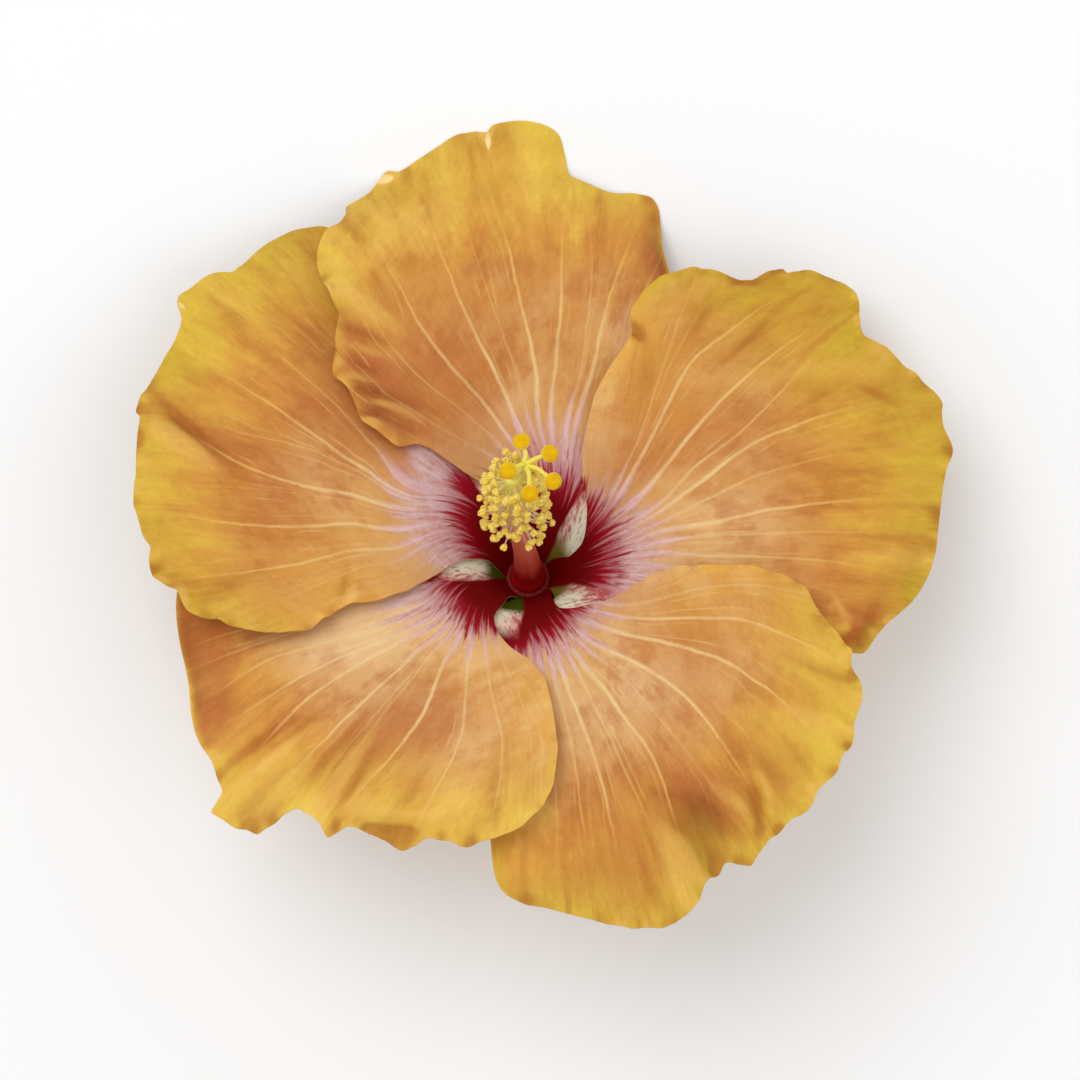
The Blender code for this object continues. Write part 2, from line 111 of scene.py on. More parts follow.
# Each petal repeats the model's outline and folds, with more points along the
# rim. Outlines and sides are (angle, reach), a fold (angle, width, height, start).
# A lip is (degrees, width, depth from the edge, height). frill is how much the
# edge ruffles and gold how far the golden rim reaches in, by angle. A stain is
# (angle, reach, half width, half length, depth of the brown), golden where it is
# below 0. These spots are partly the petal's own brown and gold, and partly painted
# shade and light: painted shade under overlapping petals, on curled-back edges and
# in folds, a painted glow of light on lit corners, and a pale painted highlight on
# curled tips where far below 0. A crease is (angle, reach, half width, half length,
# heading from the outward way, height). A vein is (strength, angles). eye and blush
# are how far the dark eye and the mauve zone reach and how they slope across the
# petal. ear is where the pale ear ends, as (reach, angle), and neck how far its
# green reaches. peach, olive, specks and green are shares of a colour.
PETALS = {
    "petal_top": {
        "covered": (
            (-36, 5.6), (-60, 7.2), (-67, 9.6), (-68, 13), (-66, 16), (-56, 20.5), (-36, 30), (-20, 46),
            (-9, 63)),
        "rim": (
            (-9, 63), (-6, 67.5), (-4.5, 70.5), (-3, 74.7), (-1.5, 78.4), (0, 79.5), (2, 79.2), (6, 77.6),
            (9, 78.3), (12, 79.8), (13, 84), (14, 87.4), (16.5, 89.2), (19, 89.7), (22.5, 89.2),
            (23.6, 87.9), (25, 88.3), (27, 88.3), (30, 86.9), (33, 85.5), (36, 84.4), (37.5, 85.2),
            (39, 84), (41, 81.9), (43.5, 80.4), (45.2, 80), (46.3, 77.2), (48, 75.8), (51, 74.5),
            (55, 70), (57, 65), (58, 61)),
        "lapping": (
            (20, 9), (38, 13), (54, 16), (60, 19), (64, 23), (66, 26), (69, 28.6), (76, 30.5), (75, 34),
            (76, 38.5), (72, 42), (70, 45), (70, 49.5), (66, 51), (63, 54), (59, 57), (58, 61)),
        "folds": (
            (-4, 7, -3.0, 45), (15, 6, 1.8, 50), (33, 8, -2.2, 40), (50, 7, 2.4, 35), (68, 7, 1.0, 26)),
        "lips": ((-6, 5, 6, -2.2), (24, 1.5, 3, 1.6), (38, 1.8, 3, 1.5)),
        "frill": ((-12, 0.1), (0, 0.35), (40, 0.45), (58, 1.0), (76, 1.3)),
        "gold": ((-6, 0.6), (2, 3), (8, 9), (24, 14), (40, 10), (54, 9), (60, 1.8), (76, 1.4)),
        "stains_and_shades": (
            (-4.2, 73, 1.7, 4, 1.8), (-7.4, 66, 1.9, 5, 2.0), (-3, 66, 4, 9, 0.7), (62, 41, 11, 12, 0.75),
            (46, 32, 10, 9, 0.7), (38, 67, 8, 6, -0.9), (-8, 48, 5, 11, -0.8), (26, 36, 10, 11, 0.3),
            (10, 50, 6, 10, 0.2), (-18, 33, 6, 10, 0.6), (70, 41, 4, 10, 0.8), (57, 55, 5, 4, 0.8),
            (33, 62, 10, 10, 0.35), (56, 66, 6, 5, -0.9), (55, 55, 1.5, 8, -0.8), (38, 76, 9, 5, -0.5),
            (23.4, 86.4, 0.5, 1.5, -2.8), (38.3, 83.8, 1.5, 0.7, -2.8), (37.6, 78.5, 1.2, 1.8, 1.2),
            (20, 80, 18, 6, -0.3)),
        "creases": (
            (54, 56, 1.6, 9, 21, 1.1), (57, 50.5, 0.9, 5, 33, -0.7), (62.5, 46, 0.7, 4, 26, -0.8),
            (66, 41.8, 0.6, 3, 38, -0.6), (62.5, 37.8, 0.8, 6, 33, -0.8),
            (68.5, 34.2, 0.7, 4.5, 20, -0.7), (71, 38.6, 0.6, 2.6, 44, -0.7), (60, 48.2, 0.8, 4, 30, 0.5),
            (66, 44, 0.6, 3, 28, 0.5), (65.5, 36, 0.7, 4, 28, 0.45), (55, 40.5, 0.9, 5, 36, -0.45),
            (56, 33.5, 1.0, 6, 22, -0.5), (49, 43.5, 1.1, 5, 20, -0.4), (15, 74, 1.1, 12, 5, -0.5),
            (22.5, 71, 1.1, 11, 8, -0.45)),
        "veins": (
            (0.5, -12, -10, -8, -6.5, -5.5), (1.0, -4.5, -2.7, -0.8, -0.3, 0), (0.5, -1, 0.6, 3, 5, 7.5),
            (1.0, 7.2, 9.1, 10, 11.2, 12), (1.1, 12.8, 15.7, 19.2, 21.3, 23), (0.4, 17, 22.5, 26, 28, 29),
            (1.1, 23, 29.5, 33.3, 34.2, 34.7), (0.8, 31.5, 41, 44.9, 45.1, 45),
            (0.4, 40, 51, 54, 53.5, 54), (0.3, 52, 62, 64, 63, 62)),
        "ear": ((4, -34), (7, -28), (9, -25), (15, -24), (20, -30)),
        "claw": 72.0, "droop": 0.0118, "eye": (15.5, 0.02), "blush": (25.0, 0.12), "specks": 0.7,
        "peach": 0.12, "olive": 0.2, "neck": 8.8, "green": 0.3,
    },
    "petal_right": {
        "covered": (
            (-40, 5.6), (-50, 8.0), (-62, 10.6), (-67, 13), (-66, 16), (-56, 20.5), (-40, 31), (-33, 45),
            (-28, 59), (-23, 68)),
        "rim": (
            (-23, 68), (-22.2, 70.5), (-18, 72.2), (-15, 74.4), (-12, 76.9), (-9, 78.6), (-5, 80),
            (0, 80.7), (4.5, 81.8), (8, 83.2), (10, 84.7), (12, 86), (15, 85.2), (17, 85.8), (18, 86.5),
            (19.5, 85.8), (22.5, 83.3), (24, 81.8), (27, 80.2), (29, 78.6), (31, 77.6), (33, 78.6),
            (36, 81.4), (38, 82.1), (42, 80.4), (45, 78.2), (46.3, 74.9), (47.5, 75.4), (48.5, 73.5),
            (49.5, 69.5), (51, 67.6), (54, 65.8), (57, 64.2), (60, 61.5), (63, 58)),
        "lapping": (
            (8, 8), (12, 11), (29, 13.3), (51, 17), (58, 20), (62, 24), (65, 31), (64, 38), (62.5, 44),
            (63.5, 46.5), (65.5, 48.5), (65, 53), (63, 58)),
        "folds": (
            (-19, 5, -1.5, 50), (-6, 7, 1.8, 45), (10, 7, -1.5, 40), (28, 8, 2.2, 40), (45, 7, -1.2, 50),
            (60, 7, 1.6, 35)),
        "lips": ((52, 6, 5, -2.2), (33, 1.6, 3, 1.4), (-17, 4, 5, 1.4)),
        "frill": ((-24, 0.0), (-14, 0.5), (-4, 0.6), (10, 0.8), (40, 0.8), (64, 0.6)),
        "gold": ((-22, 1), (-12, 5), (0, 12), (12, 16), (36, 20), (50, 15), (60, 6), (66, 2.5)),
        "stains_and_shades": (
            (-20, 67, 6, 4, 0.7), (-9, 66, 6, 9, 0.3), (54, 42, 4, 9, 0.7), (-14, 75, 10, 3, 0.9),
            (41.5, 58, 1.0, 6, 0.5), (22, 73.5, 2.2, 5, 0.7), (38, 76, 9, 7, 0.8), (22, 79, 7, 5, 0.4),
            (57, 41, 3, 5, 0.7), (-8, 76.8, 7, 2, 1.1), (4, 76, 8, 4, 0.4), (-21, 70, 5, 2, 1.3),
            (37.6, 82.8, 0.6, 1.0, -2.4), (-17, 62, 1.0, 1.2, -0.7), (-19.5, 65.5, 1, 1.2, -0.7),
            (38, 34, 7, 11, 1.05), (22, 44, 9, 15, 0.4), (51, 55, 4, 9, 0.5), (4, 62, 12, 8, 0.25),
            (63.5, 46, 1.7, 1.5, 2.6), (-18, 50, 7, 7, -0.5), (64, 37, 1.6, 9, -0.9),
            (62, 57, 5, 6, -0.5), (14, 74, 14, 6, -0.3)),
        "creases": (
            (-20, 67, 0.9, 3, 60, -1.0), (-17, 64, 0.9, 3.5, -50, 0.8), (-21, 62, 0.9, 3, 20, 0.7),
            (54.5, 41, 2.0, 7, 28, -1.0), (51, 55, 1.2, 8, 4, -0.7), (41.5, 58, 0.7, 6, 5, -0.6),
            (63.3, 46, 1.0, 2.2, 70, -1.3), (-14, 70, 0.9, 4, 75, -0.35), (-18, 69, 0.9, 3, -20, 0.7),
            (22, 73.7, 1.0, 4, -41, -0.9), (30, 62, 2.5, 8, -8, 0.6), (-10, 66, 1.6, 9, 4, -0.6)),
        "veins": (
            (0.3, -22, -22, -21, -20, -19.5), (0.5, -16, -15, -14.5, -13.8, -13.5),
            (0.9, -10, -9.8, -8.7, -8, -8.2), (0.6, -4.5, -3, -2.8, -2, -2),
            (1.1, -0.2, 1.1, 3.3, 4.2, 4.2), (0.5, 3.5, 9, 12.5, 13.4, 13),
            (1.2, 8, 15.5, 20.5, 21, 20.7), (0.7, 10.5, 20.5, 24.5, 28.5, 32),
            (1.2, 20.5, 29.5, 34, 35.6, 36), (0.9, 31.5, 41, 46, 45, 44), (0.4, 36, 46.3, 52.5, 56, 58)),
        "ear": ((4, -36), (8, -34), (10, -31), (14, -34), (20, -32)),
        "claw": 0.0, "droop": 0.0037, "eye": (16.0, 0.03), "blush": (25.0, 0.13), "specks": 1.0,
        "peach": 0.25, "olive": 0.7, "neck": 10.2, "green": 0.2,
    },
    "petal_lower_right": {
        "covered": (
            (-38, 6.2), (-42, 8), (-43, 12), (-52, 14.5), (-54, 17), (-46, 21), (-38, 30), (-32, 45),
            (-25.8, 59), (-24, 67)),
        "rim": (
            (-24, 67), (-23.3, 71), (-22.5, 73.7), (-21, 75.8), (-18, 77.6), (-15, 78.8), (-12, 80.8),
            (-9, 82.6), (-6, 85.1), (-3, 86.6), (-0.5, 87.4), (2, 86.9), (4.5, 85.3), (6, 82.8),
            (7.5, 81.4), (9, 80.9), (10.5, 79.6), (12, 80.8), (13.5, 82.3), (15, 81.4), (18, 80.4),
            (21, 80.1), (24, 81), (27, 79.7), (30, 79.7), (33, 78.5), (34.5, 78.6), (37.5, 76.5),
            (40.5, 75.6), (43.5, 73), (45, 70.2), (46.5, 69.5), (49, 65), (52, 60)),
        "lapping": (
            (12, 9), (7, 13.1), (8, 14.6), (14, 16.3), (22, 18), (32, 21), (43, 23.5), (50, 26), (56, 31),
            (57, 36), (59, 44), (58, 50), (56, 56), (52, 60)),
        "folds": (
            (-16, 7, -1.5, 45), (2, 8, 2.0, 40), (17, 5, -2.4, 50), (34, 8, 1.8, 40), (52, 7, 1.4, 35)),
        "lips": ((9, 3, 6, -2.4), (-20, 4, 5, -1.5)),
        "frill": ((-24, 0.0), (-14, 0.4), (0, 0.6), (14, 1.2), (36, 1.3), (50, 0.9), (60, 0.5)),
        "gold": ((-20, 2), (-6, 9), (4, 12), (12, 5), (24, 13), (44, 14), (52, 7), (60, 3)),
        "stains_and_shades": (
            (7.5, 68, 6, 6, 1.0), (11.5, 70, 3.6, 7, 1.0), (8.9, 76, 3.4, 4, 1.6),
            (17.5, 77, 1.3, 5, 1.1), (-5, 77, 10, 7, 1.1), (-16, 76, 7, 5, 0.4), (36, 37, 10, 12, 0.9),
            (22.5, 71, 6, 7, 1.1), (20.5, 74, 1.2, 5, -1.2), (36, 68, 6, 7, 0.5), (-18, 58, 6, 9, -0.9),
            (40, 64, 9, 8, -0.4), (6, 48, 12, 7, 0.2)),
        "creases": (
            (7.5, 63.5, 1.1, 3.5, 49, -0.6), (11.5, 71, 1.8, 6, 19, -0.9), (9, 78, 2.2, 5, -6, -1.3),
            (6.5, 68.5, 1.5, 5, 20, -0.7), (16.5, 72, 1.8, 7, 18, 1.0), (4, 78, 3.0, 6, -6, 0.9),
            (24, 70, 1.6, 8, 14, -0.7), (34, 70, 1.6, 7, 12, 0.6), (17.5, 76.5, 0.9, 5, -29, -1.0),
            (21, 73, 1.0, 6, -20, 0.8), (28, 73, 1.0, 6, -10, -0.7), (42, 66, 1.1, 6, 6, -0.7)),
        "veins": (
            (0.8, -13.5, -13.5, -13, -12.6, -13), (0.8, -9, -8.5, -7.6, -8, -8.5),
            (1.3, -6.8, -5, -3.8, -3.3, -4), (0.7, -2, 0, 1.3, 1.8, 2), (1.2, 0, 4.3, 6.8, 7.6, 6.3),
            (0.4, 4.5, 11, 13, 14, 14.5), (1.2, 7.5, 17, 21, 20.8, 19.8), (1.2, 17, 27, 33.2, 33.6, 32.8),
            (0.9, 24.5, 36.5, 44.2, 45, 44.5), (0.4, 31, 47.5, 53.5, 54, 54)),
        "ear": ((4, -34), (8, -23), (13, -21), (17, -23), (22, -23)),
        "claw": 288.0, "droop": 0.0037, "eye": (20.2, 0.20), "blush": (27.8, 0.18), "specks": 0.5,
        "peach": 0.6, "olive": 0.35, "neck": 13.7, "green": 1.0,
    },
    "petal_lower_left": {
        "covered": (
            (-40, 6.0), (-46, 8.4), (-54, 11), (-56, 14), (-48, 20), (-38, 30), (-35, 42), (-32, 58),
            (-28, 66), (-25, 70)),
        "rim": (
            (-25, 70), (-22.5, 70.8), (-18, 71.7), (-13, 72.6), (-9, 73.9), (-4, 76.7), (0, 78.4),
            (3, 78.8), (6, 80.2), (7.6, 81.2), (8.6, 85.4), (10.5, 84.7), (12, 84.4), (13.5, 82.8),
            (15, 82.4), (15.8, 79.5), (16.7, 76.5), (18, 74.5), (21, 74.8), (23, 76), (24, 76.8),
            (24.8, 74.5), (25.7, 73), (28.5, 71.6), (31.5, 71.4), (33, 72.1), (34.5, 72.6), (36, 71.7),
            (38, 70), (40.5, 69.3), (43.5, 70.2), (46.5, 68.8), (49, 68), (53, 65.5), (57, 61)),
        "lapping": (
            (27, 8), (31, 12), (31, 17), (37, 21), (46, 25), (55, 28), (60, 33), (61, 41), (61, 49),
            (59, 57.5), (57, 61)),
        "folds": (
            (-18, 6, -2.0, 45), (-2, 7, 1.5, 40), (14, 5, -2.0, 45), (24, 4, 2.4, 45), (32, 4, -1.8, 45),
            (46, 7, 1.5, 40)),
        "lips": ((31, 5, 5, -2.0), (42, 4, 4, -0.8), (-14, 6, 5, -1.4)),
        "frill": ((-24, 0.0), (-8, 0.3), (6, 0.5), (20, 0.9), (44, 1.1), (56, 0.5)),
        "gold": ((-20, 0.5), (2, 0.8), (7, 6), (20, 13), (44, 13), (54, 9), (61, 4)),
        "stains_and_shades": (
            (-22, 60, 6, 15, 1.0), (-7, 74, 10, 6, 1.5), (-18, 70, 6, 5, 0.6), (5.5, 70, 1.1, 6, 0.4),
            (8, 50, 7, 7, -0.35), (21, 75, 3, 2.5, -1.2), (31, 70, 7, 2.2, 1.2), (24, 55, 7, 8, 0.6),
            (23.3, 65, 0.7, 6, 0.8), (32, 42, 14, 10, 0.6), (38, 34, 8, 8, 0.5), (-6, 50, 7, 7, -0.6),
            (-9, 33, 7, 8, -1.0), (-8, 24, 6, 4, -0.6), (48, 62, 8, 7, -0.6), (38, 60, 5, 6, -0.4),
            (14, 75, 6, 8, -1.0), (28, 30, 9, 6, -0.7), (17, 55, 8, 7, 0.35)),
        "creases": (
            (9.4, 71, 1.1, 8, -6, 1.1), (5.8, 70, 0.9, 9, -6, -0.9), (23.3, 66, 0.7, 7, 1, -0.9),
            (20.2, 65, 1.5, 8, 2, 0.8), (32, 70.2, 1.2, 7, 105, -1.4), (32, 67, 1.3, 7, 105, 0.7),
            (16, 62, 1.6, 9, -4, -0.5), (-3, 68, 2.2, 9, 4, -0.3), (-12, 56, 2.0, 12, 3, -0.3)),
        "veins": (
            (0.8, -12, -12, -13, -14, -15), (1.0, -4, -6, -8.5, -10, -11), (1.3, 2, 0.5, -3, -5.8, -5.3),
            (1.1, 7.5, 5.6, 2.3, 0.8, 0.7), (1.1, 11, 8.8, 6.2, 5.4, 6.3),
            (1.1, 15.3, 15.3, 14.5, 13.7, 13.3), (0.4, 18.5, 19.5, 19.7, 20, 20.5),
            (1.1, 21.5, 25.4, 27.5, 26.3, 24.5), (0.9, 27.5, 34.2, 38.3, 37.3, 36),
            (0.6, 33, 42, 47.7, 48.5, 48), (0.3, 38, 50, 54.5, 54.5, 54)),
        "ear": ((4, -30), (7.5, -14), (10, -6), (14, -6), (18, -8), (20, -14)),
        "claw": 216.0, "droop": 0.0037, "eye": (19.8, -0.05), "blush": (30.0, 0.10), "specks": 0.5,
        "peach": 0.85, "olive": 0.0, "neck": 8.6, "green": 1.0,
    },
    "petal_left": {
        "covered": (
            (-36, 6.4), (-52, 11), (-56, 14), (-48, 20), (-38, 30), (-34, 46), (-29, 62), (-24, 76)),
        "rim": (
            (-24, 76), (-23, 79), (-21, 80.9), (-18, 82.3), (-15, 82.4), (-11, 81.7), (-7.6, 81.3),
            (-6.3, 83.2), (-4.5, 84.4), (-1.5, 85.3), (0, 86), (1.3, 85.2), (3, 82.4), (6, 81.2),
            (10, 81.1), (15, 81.5), (18, 81.7), (19.2, 80.2), (22, 79.5), (27, 78), (30, 77.5),
            (33, 77.5), (36, 76.3), (39, 75.2), (40.8, 74), (43.5, 74.5), (46.5, 73.9), (48, 72.2),
            (49.5, 70.2), (53, 69.5), (57, 64), (61, 60)),
        "lapping": (
            (30, 7.5), (42, 11), (52, 15), (60, 19), (63, 22), (66, 27), (66, 33), (64, 38.5), (64, 42),
            (65.5, 45), (66, 49), (64, 54.5), (62, 58.5), (61, 60)),
        "folds": (
            (-20, 6, -2.0, 45), (-4, 8, 1.6, 40), (12, 6, -1.2, 50), (26, 8, 2.2, 40), (42, 7, -1.2, 45),
            (58, 7, 1.5, 35)),
        "lips": ((1.5, 1.6, 3, 1.5), (20, 4, 4, -1.2), (47, 4, 4, 1.0)),
        "frill": ((-24, 0.0), (-14, 0.3), (0, 0.5), (16, 1.0), (50, 1.0), (66, 0.9)),
        "gold": ((-20, 16), (0, 13), (14, 9), (40, 12), (50, 10), (60, 6), (66, 3)),
        "stains_and_shades": (
            (-20, 31, 9, 16, 1.9), (-20, 58, 6, 9, -0.4), (-6, 36, 6, 12, 0.1), (17, 78, 1.6, 4, 1.1),
            (20, 69.5, 1.7, 4, 1.3), (23, 62.5, 1.8, 3.5, 1.0), (59, 38.5, 1.1, 3.0, 0.5),
            (61.5, 38, 1.2, 2.6, -1.0), (1.4, 84, 0.7, 0.9, -2.4), (11, 75, 9, 5, 0.4),
            (38, 77, 8, 5, -0.5), (28, 54, 10, 9, 0.35), (10, 44, 7, 12, 0.35), (44, 40, 8, 8, 0.4),
            (46, 54, 8, 5, 0.3), (24, 64, 8, 6, 0.35), (57, 60, 8, 5, -0.4), (-18, 72, 9, 7, -0.4),
            (0, 76, 10, 5, -0.3), (30, 22, 8, 5, -0.5)),
        "creases": (
            (19.5, 69.5, 1.1, 8, -30, -1.3), (23, 70, 1.6, 7, -30, 0.9), (61.5, 38.2, 1.1, 3.6, 62, 1.0),
            (58.5, 38.4, 0.9, 3.6, 62, -0.8), (8, 62, 2.0, 8, 10, -0.3), (-8, 62, 2.2, 12, 4, -0.6),
            (22, 72, 1.8, 8, -8, 0.6), (50, 60, 1.6, 7, 16, -0.7)),
        "veins": (
            (0.4, -13, -13, -12.5, -10.5, -11.5), (0.3, -5, -5.5, -5.5, -5.5, -5.5),
            (0.6, 13, 6.3, 1.8, 0.2, -0.8), (1.1, 17, 15, 11.7, 9.5, 8),
            (0.5, 18.5, 16.5, 15.8, 17.5, 18), (1.1, 24, 25.3, 26.2, 24.4, 21),
            (0.3, 26.5, 27.6, 28.6, 29.5, 30.5), (1.1, 34, 36, 38.1, 37.4, 35.8),
            (0.8, 43, 45.8, 48.3, 48.2, 47.8), (0.3, 49, 53, 56, 57, 57)),
        "ear": ((4, -30), (10, -15), (20, -15)),
        "claw": 144.0, "droop": 0.0037, "eye": (16.6, 0.15), "blush": (28.3, 0.06), "specks": 0.4,
        "peach": 0.05, "olive": 0.5, "neck": 9.0, "green": 0.5,
    },
}

# Staminal column: (distance along the axis, sideways drift, radius). Flutes are
# (size, number round, shift), and beads (least, more, number round, sharpness).
COLUMN = ((0.3, 0.0, 3.5), (1.0, 0.0, 3.6), (1.8, 0.0, 3.4), (3.2, 0.0, 2.95),
          (5, -0.05, 2.9), (12, -0.5, 2.4), (22, -1.6, 1.9), (33, -2.4, 1.8),
          (45, -2.8, 1.75), (48.2, -2.8, 1.6), (48.8, -2.8, 1.0))
COLUMN_POINTS = 240
COLUMN_LEVELS = ((0.3, 5, 16), (5.5, 47.8, 60), (48.1, 48.8, 5))
ROUND_SIDES = 40
COLUMN_FLUTES = ((0.02, 5, 0), (0.008, 10, 1))
CLAW_RING = (3.78, 0.22, 0.09)
RING_SIDES = 150
RING_SECTION = 8
BEADS = (0.7, 1.9, 10, 8)

# Stamens: ranges are for the random draws, and the rise is in degrees
STAMENS = 172
STAMEN_ZONE = (28.2, 47.8)
STAMEN_LENGTH = (4.0, 5.5)
STAMEN_SHORTENING = 0.2
STAMEN_ROOT = 0.25
STAMEN_SHIFT = (-0.25, 0.25)
STAMEN_RISE = (-6, 26)
RISE_TO_TIP = 32
STAMEN_SAG = (-0.4, 0.9)
STAMEN_SWAY = (-0.5, 0.5)
STAMEN_BOW = 0.35
FILAMENT_RADII = 0.15 * np.array((1.7, 1.2, 1.05, 1, 1, 1, 0.95, 0.9, 0.85))
FILAMENT_SIDES = 7
ANTHER_BALL = (12, 16)
ANTHER_HALF = (0.90, 0.72, 0.66)
ANTHER_BEND = 0.42
ANTHER_GROOVE = (0.16, 0.22)
ANTHER_LUMP = 0.035
ANTHER_LUMPS = (17, 19)
ANTHER_SIZE = (0.86, 1.08)
ANTHER_REACH = 0.30
LOBE_SHADE = 6
GOLDEN_ANGLE = 137.508
SEED = 11

# Pistil
STYLE = ((-2.8, 0.0, 46.3), (-2.8, 0.0, 48.9), (-2.2, 0.4, 50.2), (-0.9, 1.1, 51.3))
STYLE_RADIUS = 0.8
STYLE_RINGS = 16
STYLE_SIDES = 14
BRANCH_RADIUS = 0.43
BRANCH_RINGS = 18
BRANCH_SIDES = 10
BRANCH_FOOT = 1.25
BRANCH_FLARE = (1.1, 1.3, 1.5)
BRANCH_START = 0.6
BRANCH_BEND = (0.5, 0.35)
STIGMAS = ((-1.2, 5.0, 54.0), (4.3, 2.4, 54.2), (4.9, -3.2, 53.6), (0.4, -5.6, 53.2),
           (-3.7, -1.6, 55.0))
STIGMA_RADIUS = 1.72
STIGMA_FLAT = 0.66
STIGMA_BALL = (30, 40)
STIGMA_FUZZ = 0.03
FUZZ_WAVES = (31, 29, 33)
STIGMA_SUNK = 0.6
STIGMA_LEAN = 0.55

# Calyx, epicalyx and stalk. A taper is (how much thinner, start, length), and a
# rib (height, place from a lobe's middle at 0 to its side at 1, width).
CALYX_THICK = 0.702
CALYX_CLEAR = 2.0
CALYX_CUP = ((2.35, -7.0), (4.2, -6.3), (5.7, -4.3), (6.4, -1.8), (6.6, 0.0))
CALYX_SINUS = 2.2
CALYX_TIP = 12.6
CALYX_SIDES = 240
CALYX_RINGS = 22
LOBE_RINGS = 34
CALYX_POINTED = 1.15
CALYX_TAPER = (0.6, 0.75, 0.25)
CALYX_RIBS = ((0.16, 0.0, 0.10), (0.10, 1.0, 0.12))
RING = ((2.2, -8.25), (3.1, -8.25), (3.4, -8.8), (3.1, -9.35), (2.2, -9.35))
RING_POINTS = 20
RING_ROUND = 48
BRACTEOLES = 7
BRACTEOLE_SHIFT = 0.25
BRACTEOLE_PATH = ((2.7, -8.8), (5.2, -8.6), (7.7, -6.6), (9.2, -2.8), (10.4, 1.6))
BRACTEOLE_WIDTHS = (0.8, 0.95, 0.95, 0.75, 0.30)
BRACTEOLE_THICK = 0.40
BRACTEOLE_TAPER = (0.75, 0.8, 0.2)
BRACTEOLE_RINGS = 26
BRACTEOLE_SIDES = 14
RECEPTACLE = ((0.0, -0.4), (4.3, -0.4), (4.5, -1.0), (4.2, -3.4), (3.0, -5.4),
              (1.85, -6.5), (1.85, -9.6))
RECEPTACLE_RINGS = 40
STALK_RADIUS = 1.4
STALK_RINGS = 70
STALK_WAIST = 0.06
STALK_FLUTES = (0.025, 6)
STALK_CUT_INSET = 0.9
STALK_CUT_DEPTH = 0.05
BASE_SHADE_FROM = -2.2
STALK = ((0, -3.2, 5.9), (0, -4.1, 3.9), (-0.1, -5.6, 2.35), (-0.4, -7.9, 1.55),
         (-0.8, -11, 1.4), (-1.2, -19, 1.4), (-0.6, -29, 1.4), (1.5, -40, 1.4))

# Camera: straight above, at the photograph's scale of 0.2 mm a pixel, 15 mm
# above the table
CAMERA_HEIGHT = 1200.0
CAMERA_OFFSET = (2.4, 7.6)
FRAME_WIDTH = 216.0
FRAME_LEVEL = 15.0
SENSOR = 36.0
CAMERA_CLIP = (0.05, 20.0)

# Light and floor, in metres and watts: (name, place, size, power)
LAMPS = (("soft_key", (-0.55, 0.65, 1.7), 1.3, 13.0), ("soft_fill", (0.8, -0.6, 1.6), 1.4, 4.0))
LAMP_TARGET = (0, 0, 0.02)
SKY_STRENGTH = 0.7
FLOOR_HALF = 3.0
FLOOR_DROP = 0.0001


# Shapes

def smoothstep(value, start=0.0, length=1.0):
    value = np.clip((value - start) / length, 0.0, 1.0)
    return value * value * (3 - 2 * value)


def turns(count):
    """Even angles round a circle."""
    return np.arange(count) * math.tau / count


def unit(vector):
    return vector / np.linalg.norm(vector)


def to_world(points):
    """Points in the bloom's frame, in millimetres, to the table's, in metres."""
    x, y, z = np.moveaxis(np.asarray(points, float), -1, 0)
    up, lean = math.cos(TILT), math.sin(TILT)
    turned = np.stack((x, y * up + z * lean, z * up - y * lean), -1)
    return (turned + THROAT) * MM


def spline(values, places):
    """A smooth curve through values at 0, 1, 2 and so on, read at the places."""
    values = np.asarray(values, float)
    start = np.clip(np.floor(places).astype(int), 0, len(values) - 2)
    part = np.clip(places, 0, len(values) - 1) - start
    before, here, after, beyond = (
        values[np.clip(start + step, 0, len(values) - 1)] for step in (-1, 0, 1, 2))
    if values.ndim > 1:
        part = part[..., None]
    linear = after - before
    square = 2 * before - 5 * here + 4 * after - beyond
    cube = 3 * here - before - 3 * after + beyond
    return here + 0.5 * (linear * part + square * part ** 2 + cube * part ** 3)


def smooth_path(points, count):
    return spline(np.array(points, float), np.linspace(0, len(points) - 1, count))


def read_profile(profile, places):
    """The second values of a list of points, read between their first ones."""
    return np.interp(places, [point[0] for point in profile], [point[1] for point in profile])


def cup_profile(reach, droop):
    rise = CUP_HEIGHT * (1 - np.exp(-(reach - CLAW_REACH) / CUP_SCALE))
    seat = SEAT_RISE * np.clip(1 - (reach - SEAT_REACH) / SEAT_LENGTH, 0, 1) ** 3
    return rise + seat - droop * np.maximum(0.0, reach - DROOP_START) ** 2


def twist(reach):
    return sum(height * smoothstep(reach, start, length) for height, start, length in TWISTS)


def fold_height(angle, reach, folds):
    height = np.zeros_like(reach)
    for centre, width, size, start in folds:
        across = np.exp(-0.5 * ((angle - centre) / width) ** 2)
        height += size * across * smoothstep(reach, start, FOLD_END - start)
    return height


def rest_on_table(y, z):
    """Raised where it would sink in the table, easing on to it."""
    table = (y * math.sin(TILT) - THROAT[2]) / math.cos(TILT)
    return table + TABLE_EASE * np.logaddexp(0.0, (z - table) / TABLE_EASE)


def bell(spread, half):
    """Weights of a bell curve at whole steps out to so many each way."""
    weight = np.exp(-0.5 * (np.arange(-half, half + 1) / spread) ** 2)
    return weight / weight.sum()


def side_angle(points, reach):
    """A petal's side, with its corners rounded."""
    fine = np.arange(SEAT_REACH, points[-1][1] + SIDE_STEP, SIDE_STEP)
    angle = np.interp(fine, [point[1] for point in points], [point[0] for point in points])
    spread = SIDE_ROUNDING / SIDE_STEP
    half = round(SIDE_SPREADS * spread)
    padded = np.pad(angle, half, mode="edge")
    return np.interp(reach, fine, np.convolve(padded, bell(spread, half), "valid"))


